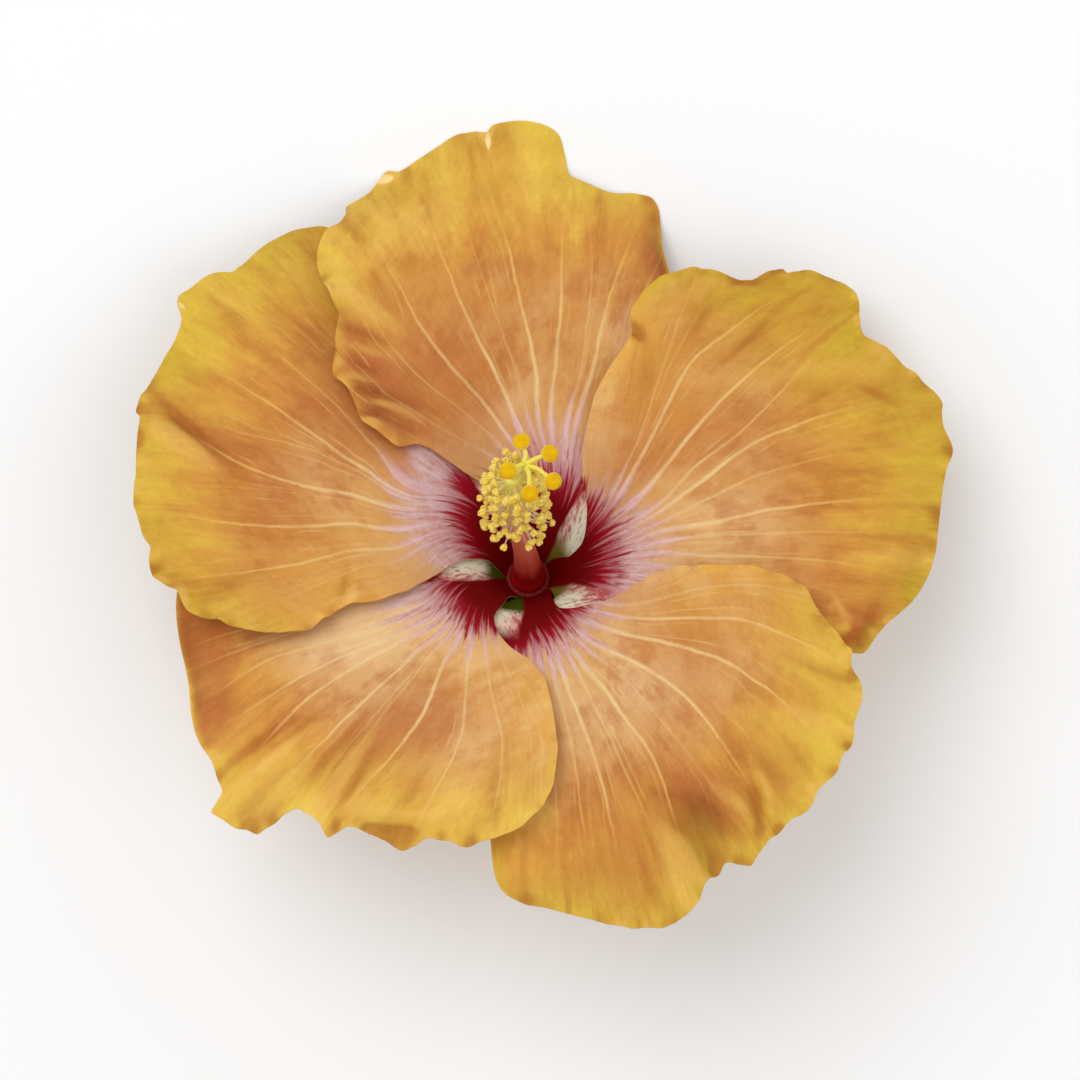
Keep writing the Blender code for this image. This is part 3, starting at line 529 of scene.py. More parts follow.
def rim_curve(points, count):
    """An even run of points along a curve that never swings past its own."""
    points = np.array(points, float)
    steps = np.diff(points, axis=0)
    lengths = np.hypot(steps[:, 0] * RIM_DEGREE, steps[:, 1])
    stations = np.concatenate(((0.0,), np.cumsum(lengths)))
    slopes = steps / lengths[:, None]
    product = slopes[:-1] * slopes[1:]
    total = slopes[:-1] + slopes[1:]
    tangents = np.vstack((slopes[:1], np.zeros_like(total), slopes[-1:]))
    same = product > 0
    tangents[1:-1][same] = 2 * product[same] / total[same]
    places = np.linspace(0, stations[-1], count)
    start = np.clip(np.searchsorted(stations, places, "right") - 1, 0, len(lengths) - 1)
    span = lengths[start][:, None]
    part = ((places - stations[start]) / lengths[start])[:, None]
    rise = part * part * (3 - 2 * part)
    leave = part * (1 - part) ** 2 * span
    arrive = part * part * (part - 1) * span
    return (points[start] * (1 - rise) + points[start + 1] * rise
            + tangents[start] * leave + tangents[start + 1] * arrive)


def petal_places(petal):
    """Angle from the claw and reach of each point of a petal's grid."""
    across = np.linspace(0, 1, COLUMNS)[None, :]
    along = (np.linspace(0, 1, ROWS) ** ROW_CROWDING)[:, None]
    rim_angle, rim_reach = rim_curve(petal["rim"], COLUMNS).T
    covered = tuple((-angle, reach) for angle, reach in SEAT_FLARE) + petal["covered"]
    lapping = SEAT_FLARE + petal["lapping"]

    def between_sides(reach):
        return (1 - across) * side_angle(covered, reach) + across * side_angle(lapping, reach)

    reach = SEAT_REACH + along * (rim_reach - SEAT_REACH)
    shift = rim_angle - between_sides(rim_reach)
    return between_sides(reach) + along * shift, reach


def edge_waves(x, y, phase):
    """Distance of each grid point to the free edge, and the edge's waves there,
    blended from its nearest points."""
    border = np.concatenate((np.stack((x[:, 0], y[:, 0]), 1),
                             np.stack((x[-1, 1:], y[-1, 1:]), 1),
                             np.stack((x[-2::-1, -1], y[-2::-1, -1]), 1)))
    steps = np.hypot(*np.diff(border, axis=0).T)
    along = np.concatenate(((0,), np.cumsum(steps)))
    share = np.gradient(along)
    sway, pace = UNEVEN
    waves = []
    for wavelength, _, _ in RUFFLES:
        turn = math.tau * along / wavelength + phase
        waves.append(np.sin(turn + sway * np.sin(pace * turn + 2 * phase)))
    waves = np.stack(waves, 1)
    distance = np.empty_like(x)
    felt = np.empty((len(RUFFLES),) + x.shape)
    for row in range(len(x)):
        gap = np.hypot(x[row][:, None] - border[:, 0], y[row][:, None] - border[:, 1])
        nearest = gap.min(1, keepdims=True)
        weight = share * np.exp(-(gap - nearest) / (BLEND[0] + BLEND[1] * nearest))
        distance[row] = nearest[:, 0]
        felt[:, row] = ((weight @ waves) / weight.sum(1, keepdims=True)).T
    return distance, felt


def ruffles(petal, angle, reach, edge, waves):
    """Waves along the free edge, and the lips that curl there."""
    free = smoothstep(reach, *EDGE_FREE)
    frill = read_profile(petal["frill"], angle) * free
    across, lowest, highest = LIFT_ACROSS
    lift = RUFFLE_LIFT * np.clip(angle / across, lowest, highest)
    height = np.zeros_like(reach)
    for (_, size, depth), wave in zip(RUFFLES, waves):
        height += size * frill * np.exp(-(edge / depth) ** RUFFLE_FADE) * (wave + lift)
    for centre, width, depth, size in petal["lips"]:
        window = np.exp(-0.5 * ((angle - centre) / width) ** 2) * free
        height += size * window * smoothstep(1 - edge / depth)
    return height


def spots(places, angle, reach):
    """The sum of soft oval spots: the creases' height, or the depth of the brown spots, which are partly
    the petal's own colour and partly painted shade and light.
    """
    total = np.zeros_like(reach)
    for centre, middle, width, length, *heading, size in places:
        side = np.radians(angle - centre) * middle
        out = reach - middle
        turn = math.radians(sum(heading))
        along = out * math.cos(turn) + side * math.sin(turn)
        across = side * math.cos(turn) - out * math.sin(turn)
        total += size * np.exp(-0.5 * ((along / length) ** 2 + (across / width) ** 2))
    return total


def blurred(values, *spreads):
    """Values smoothed over so many rows and columns of the grid."""
    for axis, spread in enumerate(spreads):
        pad = [(0, 0), (0, 0)]
        pad[axis] = (3 * spread, 3 * spread)
        padded = np.pad(values, pad, mode="edge")
        weight = bell(spread, 3 * spread)
        values = np.apply_along_axis(np.convolve, axis, padded, weight, "valid")
    return values


def vein_lines(petal):
    """Angles of the veins at reaches a step apart, with unseen ones beside them."""
    read = np.array([vein[1:] for vein in petal["veins"]], float)
    share = np.linspace(0, 1, len(read))
    claw = VEINS_AT_CLAW[0] + share * VEINS_AT_CLAW[1]
    spread = VEINS_IN_THROAT[0] + share * VEINS_IN_THROAT[1]
    throat = VEIN_MIX[0] * claw + VEIN_MIX[1] * spread + VEIN_MIX[2] * read[:, 0]
    bend = read[:, 4] - read[:, 3]
    rim = read[:, 4] + VEIN_RUN_ON[0] * bend
    far = rim + VEIN_RUN_ON[1] * bend
    lines = np.column_stack((claw, throat, read, rim, far))
    for line in range(1, len(lines)):
        lines[line] = np.maximum(lines[line], lines[line - 1] + VEIN_APART)
    beside = np.array(VEINS_BESIDE)
    left = [lines[0] - beside * count for count in (3, 2, 1)]
    right = [lines[-1] + beside * count for count in (1, 2, 3)]
    unseen = [UNSEEN_VEIN] * 3
    strength = unseen + [vein[0] for vein in petal["veins"]] + unseen
    return np.vstack((left, lines, right)), np.array(strength)


def vein_flow(petal, angle, reach):
    """A count of veins across the blade, whole on each vein, the nearest vein's
    strength, and the distance between neighbours in millimetres."""
    lines, strength = vein_lines(petal)
    places = (reach - VEIN_START) / VEIN_STEP
    at = np.stack([spline(line, places) for line in lines])
    left = np.clip((angle >= at).sum(0) - 1, 0, len(lines) - 2)
    low = np.take_along_axis(at, left[None], 0)[0]
    high = np.take_along_axis(at, left[None] + 1, 0)[0]
    gap = np.maximum(high - low, LEAST_GAP)
    flow = left + (angle - low) / gap
    nearest = np.clip(np.round(flow).astype(int), 0, len(lines) - 1)
    return flow, strength[nearest], gap * np.radians(reach)


def petal_sheet(petal):
    """Underside of a petal as a grid of points, with what its finish reads."""
    angle, reach = petal_places(petal)
    turn = np.radians(petal["claw"] + angle)
    x, y = reach * np.cos(turn), reach * np.sin(turn)
    edge, waves = edge_waves(x, y, math.radians(petal["claw"]))
    flow, strength, gap = vein_flow(petal, angle, reach)
    height = cup_profile(reach, petal["droop"]) + twist(reach) * angle / PETAL_TURN
    relief = fold_height(angle, reach, petal["folds"])
    raw = ruffles(petal, angle, reach, edge, waves)
    relief += raw + smoothstep(edge, *EDGE_CRISP) * (blurred(raw, *RUFFLE_BLUR) - raw)
    relief += spots(petal["creases"], angle, reach)
    puff = PUFF_HEIGHT * np.abs(np.sin(math.pi * flow)) * np.minimum(gap / PUFF_GAP, 1)
    puff *= smoothstep(reach, *PUFF_FROM)
    points = np.stack((x, y, rest_on_table(y, height + relief + puff)), -1)
    eye = petal["eye"][0] - petal["eye"][1] * angle
    blush = petal["blush"][0] - petal["blush"][1] * angle - BLUSH_CURVE * angle ** 2
    gold = np.exp(-(edge / read_profile(petal["gold"], angle)) ** GOLD_FADE)
    marks = {
        "flow": flow, "strength": strength, "gap": gap, "reach": reach, "edge": edge,
        "arc": np.radians(angle) * reach, "eye": eye - reach, "blush": blush - reach,
        "ear": np.radians(read_profile(petal["ear"], reach) - angle) * reach,
        "gold": gold * smoothstep(reach, *GOLD_FROM),
        # stain: depth of the brown spots, partly real colour and partly painted shade and light
        "stain_and_shade": spots(petal["stains_and_shades"], angle, reach),
        # crease: how far a point lies below its smoothed neighbours, for painted shade and light on the
        # folds
        "crease": blurred(relief, *HOLLOW_BLUR) - relief,
    }
    return points, marks


def surface_normals(points):
    across = np.gradient(points, axis=1)
    along = np.gradient(points, axis=0)
    normal = np.cross(along, across)
    normal /= np.maximum(np.linalg.norm(normal, axis=-1, keepdims=True), 1e-9)
    return normal * np.sign(normal[..., 2:3].mean())


def grid_quads(rows, columns, closed=False, ring=False):
    """Quads of a grid of points, counted row by row. A closed grid joins its last
    column to its first, and a ring its last row to its first too."""
    index = np.arange(rows * columns).reshape(rows, columns)
    if closed or ring:
        index = np.concatenate((index, index[:, :1]), 1)
    if ring:
        index = np.concatenate((index, index[:1]))
    corners = (index[:-1, :-1], index[:-1, 1:], index[1:, 1:], index[1:, :-1])
    return np.stack([corner.ravel() for corner in corners], 1)


def new_piece(name, points, faces, marks, finish):
    mesh = bpy.data.meshes.new(name)
    mesh.from_pydata(points.tolist(), [], faces)
    mesh.update()
    for mark, values in marks.items():
        layer = mesh.attributes.new(mark, "FLOAT", "POINT")
        layer.data.foreach_set("value", np.asarray(values, np.float32).ravel())
    mesh.materials.append(finish)
    mesh.shade_smooth()
    piece = bpy.data.objects.new(name, mesh)
    bpy.context.scene.collection.objects.link(piece)
    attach(piece, "root")
    return piece


def shell_piece(name, lower, upper, marks, finish):
    """A thin closed shell between two grids of points."""
    rows, columns = lower.shape[:2]
    count = rows * columns
    quads = grid_quads(rows, columns)
    index = np.arange(count).reshape(rows, columns)
    loop = np.concatenate((index[0, :-1], index[:-1, -1], index[-1, :0:-1], index[:0:-1, 0]))
    ahead = np.roll(loop, -1)
    wall = np.stack((loop, ahead, ahead + count, loop + count), 1)
    faces = np.concatenate((quads[:, ::-1] + count, quads, wall[:, ::-1]))
    points = to_world(np.concatenate((lower.reshape(-1, 3), upper.reshape(-1, 3))))
    both = {mark: np.tile(values.ravel(), 2) for mark, values in marks.items()}
    both["back"] = np.repeat((1.0, 0.0), count)
    piece = new_piece(name, points, faces.tolist(), both, finish)
    piece.data.set_sharp_from_angle(angle=SHARP)
    return piece


def make_petals():
    for seed, (name, petal) in enumerate(PETALS.items()):
        lower, marks = petal_sheet(petal)
        thick = EDGE_THICK + BLADE_THICK * smoothstep(marks["edge"] / BLADE_DEPTH)
        thick = thick + CLAW_THICK * (1 - smoothstep(marks["reach"], *CLAW_FADE))
        lift = thick / np.maximum(surface_normals(lower)[..., 2], STEEPEST)
        upper = lower + lift[..., None] * (0, 0, 1)
        skin = PetalFinish(petal, seed).painted()
        blade = shell_piece(name + "_blade", lower, upper, marks, skin)
        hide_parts(name)


def headings(path):
    ahead = np.gradient(path, axis=0)
    return ahead / np.linalg.norm(ahead, axis=1, keepdims=True)


def tube_rings(path, radii, sides):
    """Rings of points round a path, with their frame carried along it."""
    path = np.asarray(path, float)
    ahead = headings(path)
    start = np.array((1.0, 0, 0)) if abs(ahead[0][0]) < 0.8 else np.array((0, 1.0, 0))
    around = turns(sides)[:, None]
    rings = []
    for point, way, radius in zip(path, ahead, radii):
        start = unit(start - way * (start @ way))
        other = np.cross(way, start)
        rings.append(point + radius * (np.cos(around) * start + np.sin(around) * other))
    return np.array(rings)


def turned(profile, sides):
    """Rings of points round the axis, at a profile's (radius, height)."""
    turn = turns(sides)
    return np.array([np.stack((radius * np.cos(turn), radius * np.sin(turn),
                               np.full(sides, height)), 1) for radius, height in profile])


def fluted(rings, path, flute):
    """Rings drawn in or out round their path's points, by a factor a side."""
    return path[:, None] + (rings - path[:, None]) * flute[None, :, None]


def placed(shape, centre, size, *axes):
    """A small shape's points, turned to three axes and put at a centre."""
    return centre + size * sum(shape[:, [side]] * axis for side, axis in enumerate(axes))


class Pile:
    """Points, faces and marks of many small shapes that make one piece."""

    def __init__(self, *marks):
        self.points = []
        self.faces = []
        self.marks = {mark: [] for mark in marks}
        self.count = 0

    def add(self, points, faces, **marks):
        points = np.asarray(points, float).reshape(-1, 3)
        self.points.append(points)
        self.faces += [[corner + self.count for corner in face] for face in faces]
        for mark, values in marks.items():
            self.marks[mark].append(np.broadcast_to(values, len(points)).astype(float))
        self.count += len(points)

    def tube(self, rings, by_side=None, **by_ring):
        """Rings joined to a tube with flat ends. Marks go by ring or by side."""
        count, sides = len(rings), len(rings[0])
        faces = grid_quads(count, sides, closed=True).tolist()
        faces.append(list(range(sides))[::-1])
        faces.append(list(range((count - 1) * sides, count * sides)))
        marks = {mark: np.repeat(np.broadcast_to(values, count), sides)
                 for mark, values in by_ring.items()}
        for mark, values in (by_side or {}).items():
            marks[mark] = np.tile(values, count)
        self.add(rings, faces, **marks)

    def piece(self, name, finish):
        points = to_world(np.concatenate(self.points))
        marks = {mark: np.concatenate(values) for mark, values in self.marks.items()}
        return new_piece(name, points, self.faces, marks, finish)


def ball(rings, sides):
    """A unit sphere as points and faces, poles on Z."""
    points = [(0.0, 0.0, -1.0)]
    for ring in range(1, rings):
        level = math.pi * ring / rings
        for side in range(sides):
            turn = math.tau * side / sides
            points.append((math.sin(level) * math.cos(turn),
                           math.sin(level) * math.sin(turn), -math.cos(level)))
    points.append((0.0, 0.0, 1.0))
    faces = (grid_quads(rings - 1, sides, closed=True) + 1).tolist()
    top = len(points) - 1
    last = 1 + (rings - 2) * sides
    for side in range(sides):
        after = (side + 1) % sides
        faces.append([0, 1 + after, 1 + side])
        faces.append([top, last + side, last + after])
    return np.array(points), faces


def column_at(heights, points):
    """The column's drift and radius at the heights, from points along it."""
    points = np.asarray(points, float)
    return [np.interp(heights, points[:, 0], points[:, side]) for side in (1, 2)]


def make_column_tube():
    levels = np.concatenate([np.linspace(*run) for run in COLUMN_LEVELS])
    drift, radius = column_at(levels, smooth_path(COLUMN, COLUMN_POINTS))
    path = np.stack((drift, np.zeros_like(drift), levels), 1)
    turn = turns(ROUND_SIDES)
    flute = np.ones(ROUND_SIDES)
    for size, count, shift in COLUMN_FLUTES:
        flute += size * np.cos(count * turn + shift)
    pile = Pile("height", "round")
    rings = fluted(tube_rings(path, radius, ROUND_SIDES), path, flute)
    pile.tube(rings, {"round": turn}, height=levels)
    add_claw_ring(pile)
    tube = pile.piece("column_tube", column_finish())
    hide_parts("staminal_column")


def add_claw_ring(pile):
    """The beaded ring where the claws join the column."""
    middle, level, thick = CLAW_RING
    least, more, count, sharpness = BEADS
    around = turns(RING_SIDES)
    section = turns(RING_SECTION)[:, None]
    bead = thick * (least + more * np.maximum(0, -np.cos(count * around)) ** sharpness)
    reach = middle + bead * np.cos(section)
    height = level + bead * np.sin(section)
    points = np.stack((reach * np.cos(around), reach * np.sin(around), height), -1)
    quads = grid_quads(RING_SECTION, RING_SIDES, ring=True)
    pile.add(points, quads[:, ::-1].tolist(), height=-1.0, round=np.tile(around, RING_SECTION))


def stamen(index, draw):
    """Path of one filament, root to tip, and the ways out and aside there."""
    share = (index + 0.5) / STAMENS
    low, high = STAMEN_ZONE
    height = low + (high - low) * share
    drift, radius = column_at(height, COLUMN)
    turn = math.radians(index * GOLDEN_ANGLE) + draw.uniform(*STAMEN_SHIFT)
    length = draw.uniform(*STAMEN_LENGTH) * (1 - STAMEN_SHORTENING * share ** 2)
    rise = math.radians(draw.uniform(*STAMEN_RISE) + RISE_TO_TIP * share ** 2)
    sag = STAMEN_BOW * draw.uniform(*STAMEN_SAG)
    sway = STAMEN_BOW * draw.uniform(*STAMEN_SWAY)
    flat = np.array((math.cos(turn), math.sin(turn), 0))
    side = np.array((-flat[1], flat[0], 0))
    out = flat * math.cos(rise) + np.array((0, 0, math.sin(rise)))
    root = np.array((drift, 0, height)) + flat * (radius - STAMEN_ROOT)
    steps = np.linspace(0, 1, len(FILAMENT_RADII))[:, None]
    bow = steps * (1 - steps) * 4
    return root + out * length * steps + bow * (side * sway - (0, 0, sag)), flat, side


def make_stamens():
    draw = random.Random(SEED)
    filaments = Pile("along", "high")
    anthers = Pile("tone", "lobe")
    sphere, faces = ball(*ANTHER_BALL)
    x, y, z = sphere.T
    shape = sphere * ANTHER_HALF
    bend = ANTHER_BEND * (shape[:, 0] / ANTHER_HALF[0]) ** 2
    depth, width = ANTHER_GROOVE
    groove = depth * np.exp(-(shape[:, 1] / width) ** 2) * (z > 0)
    for index in range(STAMENS):
        path, flat, side = stamen(index, draw)
        filaments.tube(tube_rings(path, FILAMENT_RADII, FILAMENT_SIDES),
                       along=np.linspace(0, 1, len(path)), high=index / STAMENS)
        way = unit(path[-1] - path[-2])
        roll = draw.uniform(0, math.tau)
        first = unit(np.cross(way, flat + side * 0.3 + np.array((0, 0, 0.4))))
        long_way = math.cos(roll) * first + math.sin(roll) * np.cross(way, first)
        size = draw.uniform(*ANTHER_SIZE)
        lumps = ANTHER_LUMP * np.sin(x * ANTHER_LUMPS[0] + index) * np.sin(y * ANTHER_LUMPS[1])
        head = np.column_stack((shape[:, :2], shape[:, 2] - bend - groove + lumps))
        centre = path[-1] + way * ANTHER_REACH
        points = placed(head, centre, size, long_way, np.cross(way, long_way), way)
        # lobe: the groove's depth, for painted shade in it
        anthers.add(points, faces, tone=draw.random(), lobe=groove * LOBE_SHADE)
    stalks = filaments.piece("filaments", filament_finish())
    heads = anthers.piece("anthers", anther_finish())


def make_pistil():
    style = Pile("along")
    radii = np.full(STYLE_RINGS, STYLE_RADIUS)
    style.tube(tube_rings(smooth_path(STYLE, STYLE_RINGS), radii, STYLE_SIDES), along=0.0)
    fork = np.array(STYLE[-1])
    below = np.array(STYLE[-2])
    heads = Pile("tone", "pole")
    sphere, faces = ball(*STIGMA_BALL)
    radii = BRANCH_RADIUS * np.linspace(BRANCH_FOOT, 1.0, BRANCH_RINGS)
    radii[-len(BRANCH_FLARE):] *= BRANCH_FLARE
    along = np.linspace(0, 1, BRANCH_RINGS)
    for index, tip in enumerate(np.array(STIGMAS)):
        bend = fork + (fork - below) * BRANCH_BEND[0] + (tip - fork) * BRANCH_BEND[1]
        way = unit(tip - bend)
        inner = tip - way * STIGMA_RADIUS * STIGMA_SUNK
        foot = below + (fork - below) * BRANCH_START
        path = smooth_path((foot, fork, bend, inner), BRANCH_RINGS)
        style.tube(tube_rings(path, radii, BRANCH_SIDES), along=along)
        way = unit(STIGMA_LEAN * way + np.array((0, -math.sin(TILT), math.cos(TILT))))
        first = unit(np.cross(way, (0.9, 0.3, 0.2)))
        x, y, z = (sphere * FUZZ_WAVES).T
        fuzz = np.sin(x + index) * np.sin(y) * np.sin(z)
        shape = sphere * (1 + STIGMA_FUZZ * fuzz)[:, None] * (1.0, 1.0, STIGMA_FLAT)
        points = placed(shape, tip, STIGMA_RADIUS, first, np.cross(way, first), way)
        # pole: height toward each stigma's face, for its pale rim with painted sheen
        heads.add(points, faces, tone=index / len(STIGMAS), pole=sphere[:, 2])
    stems = style.piece("style_branches", style_finish())
    knobs = heads.piece("stigmas", stigma_finish())
    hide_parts("pistil")


def calyx_wall(height):
    return CALYX_CLEAR + CLAW_REACH - CUP_SCALE * np.log(1 - height / CUP_HEIGHT)


def calyx_inside(turn, point):
    """The inner wall as rows of points, from the foot up to the lobes' tips."""
    top = CALYX_SINUS + (CALYX_TIP - CALYX_SINUS) * (1 - point) ** CALYX_POINTED
    rows = [np.tile(place, (len(turn), 1)) for place in smooth_path(CALYX_CUP, CALYX_RINGS)]
    rows += [np.stack((calyx_wall(top * share), top * share), 1)
             for share in np.linspace(0, 1, LOBE_RINGS)[1:]]
    reach, height = np.moveaxis(np.array(rows), -1, 0)
    return np.stack((reach * np.cos(turn), reach * np.sin(turn), height), -1)


def make_calyx():
    """The five-lobed cup: an inner and an outer wall with ribs down the lobes."""
    sides = CALYX_SIDES
    turn = turns(sides)
    point = np.abs(((np.degrees(turn) - 36) / PETAL_TURN + 0.5) % 1 - 0.5) * 2
    inner = calyx_inside(turn, point)
    rows = len(inner)
    wrapped = np.concatenate((inner[:, -1:], inner, inner[:, :1]), 1)
    normal = surface_normals(wrapped)[:, 1:-1]
    normal *= -np.sign(normal[..., 2:3])
    length = np.linspace(0, 1, rows)[:, None]
    thinner, start, run = CALYX_TAPER
    taper = 1 - thinner * smoothstep(length, start, run)
    rib = sum(size * np.exp(-((point - place) / width) ** 2) for size, place, width in CALYX_RIBS)
    thick = CALYX_THICK * taper + rib[None] * smoothstep(length * 4) * taper
    outer = inner + normal * thick[..., None]
    count = rows * sides
    quads = grid_quads(rows, sides, closed=True)
    low = np.arange(sides)
    ahead = np.roll(low, -1)
    base = np.stack((low, ahead, ahead + count, low + count), 1)
    rims = np.concatenate((base[:, ::-1], base + (rows - 1) * sides))
    faces = np.concatenate((quads[:, ::-1], quads + count, rims))
    points = to_world(np.concatenate((inner.reshape(-1, 3), outer.reshape(-1, 3))))
    marks = {"along": np.tile(np.repeat(length.ravel(), sides), 2),
             "rib": np.tile(point, rows * 2),
             "inside": np.repeat((1.0, 0.0), count)}
    cup_piece = new_piece("calyx_cup", points, faces.tolist(), marks, sepal_finish("calyx_skin"))
    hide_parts("calyx")


def make_epicalyx():
    pile = Pile("along", "rib", "inside")
    section = smooth_path(RING + RING[:1], RING_POINTS + 1)[:-1]
    quads = grid_quads(RING_POINTS, RING_ROUND, ring=True)
    pile.add(turned(section, RING_ROUND), quads[:, ::-1].tolist(), along=0.0, rib=0.5, inside=0.0)
    length = np.linspace(0, 1, BRACTEOLE_RINGS)
    path = smooth_path(BRACTEOLE_PATH, BRACTEOLE_RINGS)
    half = smooth_path([(width,) for width in BRACTEOLE_WIDTHS], BRACTEOLE_RINGS)[:, 0]
    thinner, start, run = BRACTEOLE_TAPER
    half *= 1 - thinner * smoothstep(length, start, run)
    thick = BRACTEOLE_THICK * (0.35 + 0.65 * half / max(half))
    around = turns(BRACTEOLE_SIDES)
    for index in range(BRACTEOLES):
        heading = math.tau * (index + BRACTEOLE_SHIFT) / BRACTEOLES
        out = np.array((math.cos(heading), math.sin(heading), 0))
        side = np.array((-out[1], out[0], 0))
        centre = out * path[:, :1] + np.array((0, 0, 1)) * path[:, 1:]
        normal = np.cross(side, headings(centre))
        rings = (centre[:, None] + np.cos(around)[None, :, None] * (half[:, None, None] * side)
                 + np.sin(around)[None, :, None] * (thick[:, None, None] * normal[:, None]))
        pile.tube(rings, {"rib": np.abs(np.cos(around))}, along=length, inside=0.0)
    piece = pile.piece("bracteoles", sepal_finish("bracteole_skin"))
    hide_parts("epicalyx")


def make_stalk():
    """The receptacle, and the stalk with its cut end."""
    pile = Pile("along", "round", "cut", "base")
    turn = turns(ROUND_SIDES)
    profile = smooth_path(RECEPTACLE, RECEPTACLE_RINGS)
    last = (RECEPTACLE_RINGS - 1) * ROUND_SIDES
    faces = grid_quads(RECEPTACLE_RINGS, ROUND_SIDES, closed=True)[:, ::-1].tolist()
    faces.append(list(range(last, last + ROUND_SIDES))[::-1])
    pile.add(turned(profile, ROUND_SIDES), faces, along=0.0, round=np.tile(turn, RECEPTACLE_RINGS),
             cut=0.0, base=np.repeat(smoothstep(profile[:, 1], BASE_SHADE_FROM), ROUND_SIDES))
    lean, up = math.sin(TILT), math.cos(TILT)
    x, y, z = smooth_path(STALK, STALK_RINGS).T
    z = z - THROAT[2]
    local = np.stack((x, y * up - z * lean, y * lean + z * up), 1)
    length = np.linspace(0, 1, STALK_RINGS)
    radii = STALK_RADIUS * (1 - STALK_WAIST * np.sin(math.pi * length))
    depth, count = STALK_FLUTES
    flute = 1 - depth * (1 - np.cos(count * turn)) / 2
    rings = fluted(tube_rings(local, radii, ROUND_SIDES), local, flute)
    inner = local[-1] + (rings[-1] - local[-1]) * STALK_CUT_INSET
    rings = np.concatenate((rings, inner[None] - (local[-1] - local[-2]) * STALK_CUT_DEPTH))
    cut = np.append(np.zeros(STALK_RINGS), 1)
    pile.tube(rings, {"round": turn}, along=np.append(length, 1.0), cut=cut, base=0.0)
    piece = pile.piece("stalk", stalk_finish())
    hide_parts("pedicel")


# Finishes

def colour(red, green, blue):
    """A screen colour, 0 to 255, as the linear value that a shader takes."""
    linear = []
    for value in (red, green, blue):
        share = value / 255
        linear.append(share / 12.92 if share <= 0.04045 else ((share + 0.055) / 1.055) ** 2.4)
    return (*linear, 1.0)


class Reading:
    """A value in a material's nodes. A formula of readings makes the nodes for it."""

    def __init__(self, finish, socket):
        self.finish = finish
        self.socket = socket

    def __add__(self, other):
        return self.finish.math("ADD", self, other)

    def __sub__(self, other):
        return self.finish.math("SUBTRACT", self, other)

    def __mul__(self, other):
        return self.finish.math("MULTIPLY", self, other)

    def __truediv__(self, other):
        return self.finish.math("DIVIDE", self, other)

    def at_least(self, low):
        return self.finish.math("MAXIMUM", self, low)

    def at_most(self, high):
        return self.finish.math("MINIMUM", self, high)

    def ramp(self, low, high, first=0.0, last=1.0):
        """Smoothly from first to last as the value goes from low to high."""
        made = self.finish.node("MapRange", {"interpolation_type": "SMOOTHSTEP"}, Value=self,
                                From_Min=low, From_Max=high, To_Min=first, To_Max=last)
        return Reading(self.finish, made.outputs["Result"])


class Finish:
    """A material's node tree, with short names for the nodes it is made of."""

    def __init__(self, name, **sockets):
        self.material = bpy.data.materials.new(name)
        self.material.use_nodes = True
        self.tree = self.material.node_tree
        self.shader = self.tree.nodes["Principled BSDF"]
        for socket, value in sockets.items():
            self.shader.inputs[socket.replace("_", " ")].default_value = value

    def node(self, kind, settings=(), **inputs):
        made = self.tree.nodes.new("ShaderNode" + kind)
        for setting, value in dict(settings).items():
            setattr(made, setting, value)
        for socket, value in inputs.items():
            self.plug(value, made.inputs[socket.replace("_", " ")])
        return made

    def plug(self, value, socket):
        if isinstance(value, Reading):
            self.tree.links.new(value.socket, socket)
        else:
            socket.default_value = value

    def mark(self, name):
        return Reading(self, self.node("Attribute", {"attribute_name": name}).outputs["Fac"])

    def math(self, operation, *values):
        made = self.node("Math", {"operation": operation})
        for value, socket in zip(values, made.inputs):
            self.plug(value, socket)
        return Reading(self, made.outputs[0])

    def place(self, x, y, z=0.0):
        return Reading(self, self.node("CombineXYZ", X=x, Y=y, Z=z).outputs[0])

    def noise(self, at, detail=2.0, roughness=0.5):
        made = self.node("TexNoise", Scale=1.0, Detail=detail, Roughness=roughness, Vector=at)
        return Reading(self, made.outputs["Fac"])

    def cells(self, at):
        made = self.node("TexVoronoi", {"feature": "DISTANCE_TO_EDGE"}, Scale=1.0, Vector=at)
        return Reading(self, made.outputs["Distance"])

    def spot(self, scale):
        """Place on the object in millimetres, times a scale."""
        here = Reading(self, self.node("TexCoord").outputs["Object"])
        scaled = self.node("Mapping", {"vector_type": "POINT"}, Vector=here)
        scaled.inputs["Scale"].default_value = [scale / MM] * 3
        return Reading(self, scaled.outputs[0])

    def mix(self, share, first, second, blend="MIX"):
        made = self.node("Mix", {"data_type": "RGBA", "blend_type": blend})
        for value, socket in zip((share, first, second), (0, 6, 7)):
            self.plug(value, made.inputs[socket])
        return Reading(self, made.outputs[2])

    def coats(self, shade, *layers):
        """A shade under layers of (share, colour), the first one lowest."""
        for share, coat in layers:
            shade = self.mix(share, shade, coat)
        return shade

    def scale_colour(self, value, stops):
        """A colour that follows a value through (value, colour) stops."""
        low, high = stops[0][0], stops[-1][0]
        made = self.node("ValToRGB", Fac=(value - low) / (high - low))
        band = made.color_ramp
        band.interpolation = "EASE"
        for place, shade in stops[1:-1]:
            band.elements.new((place - low) / (high - low)).color = shade
        band.elements[0].color = stops[0][1]
        band.elements[-1].color = stops[-1][1]
        return Reading(self, made.outputs["Color"])

    def bump(self, height, distance, strength):
        made = self.node("Bump", Height=height, Distance=distance * MM, Strength=strength)
        self.tree.links.new(made.outputs["Normal"], self.shader.inputs["Normal"])

    def paint(self, shade):
        self.plug(shade, self.shader.inputs["Base Color"])
        return self.material


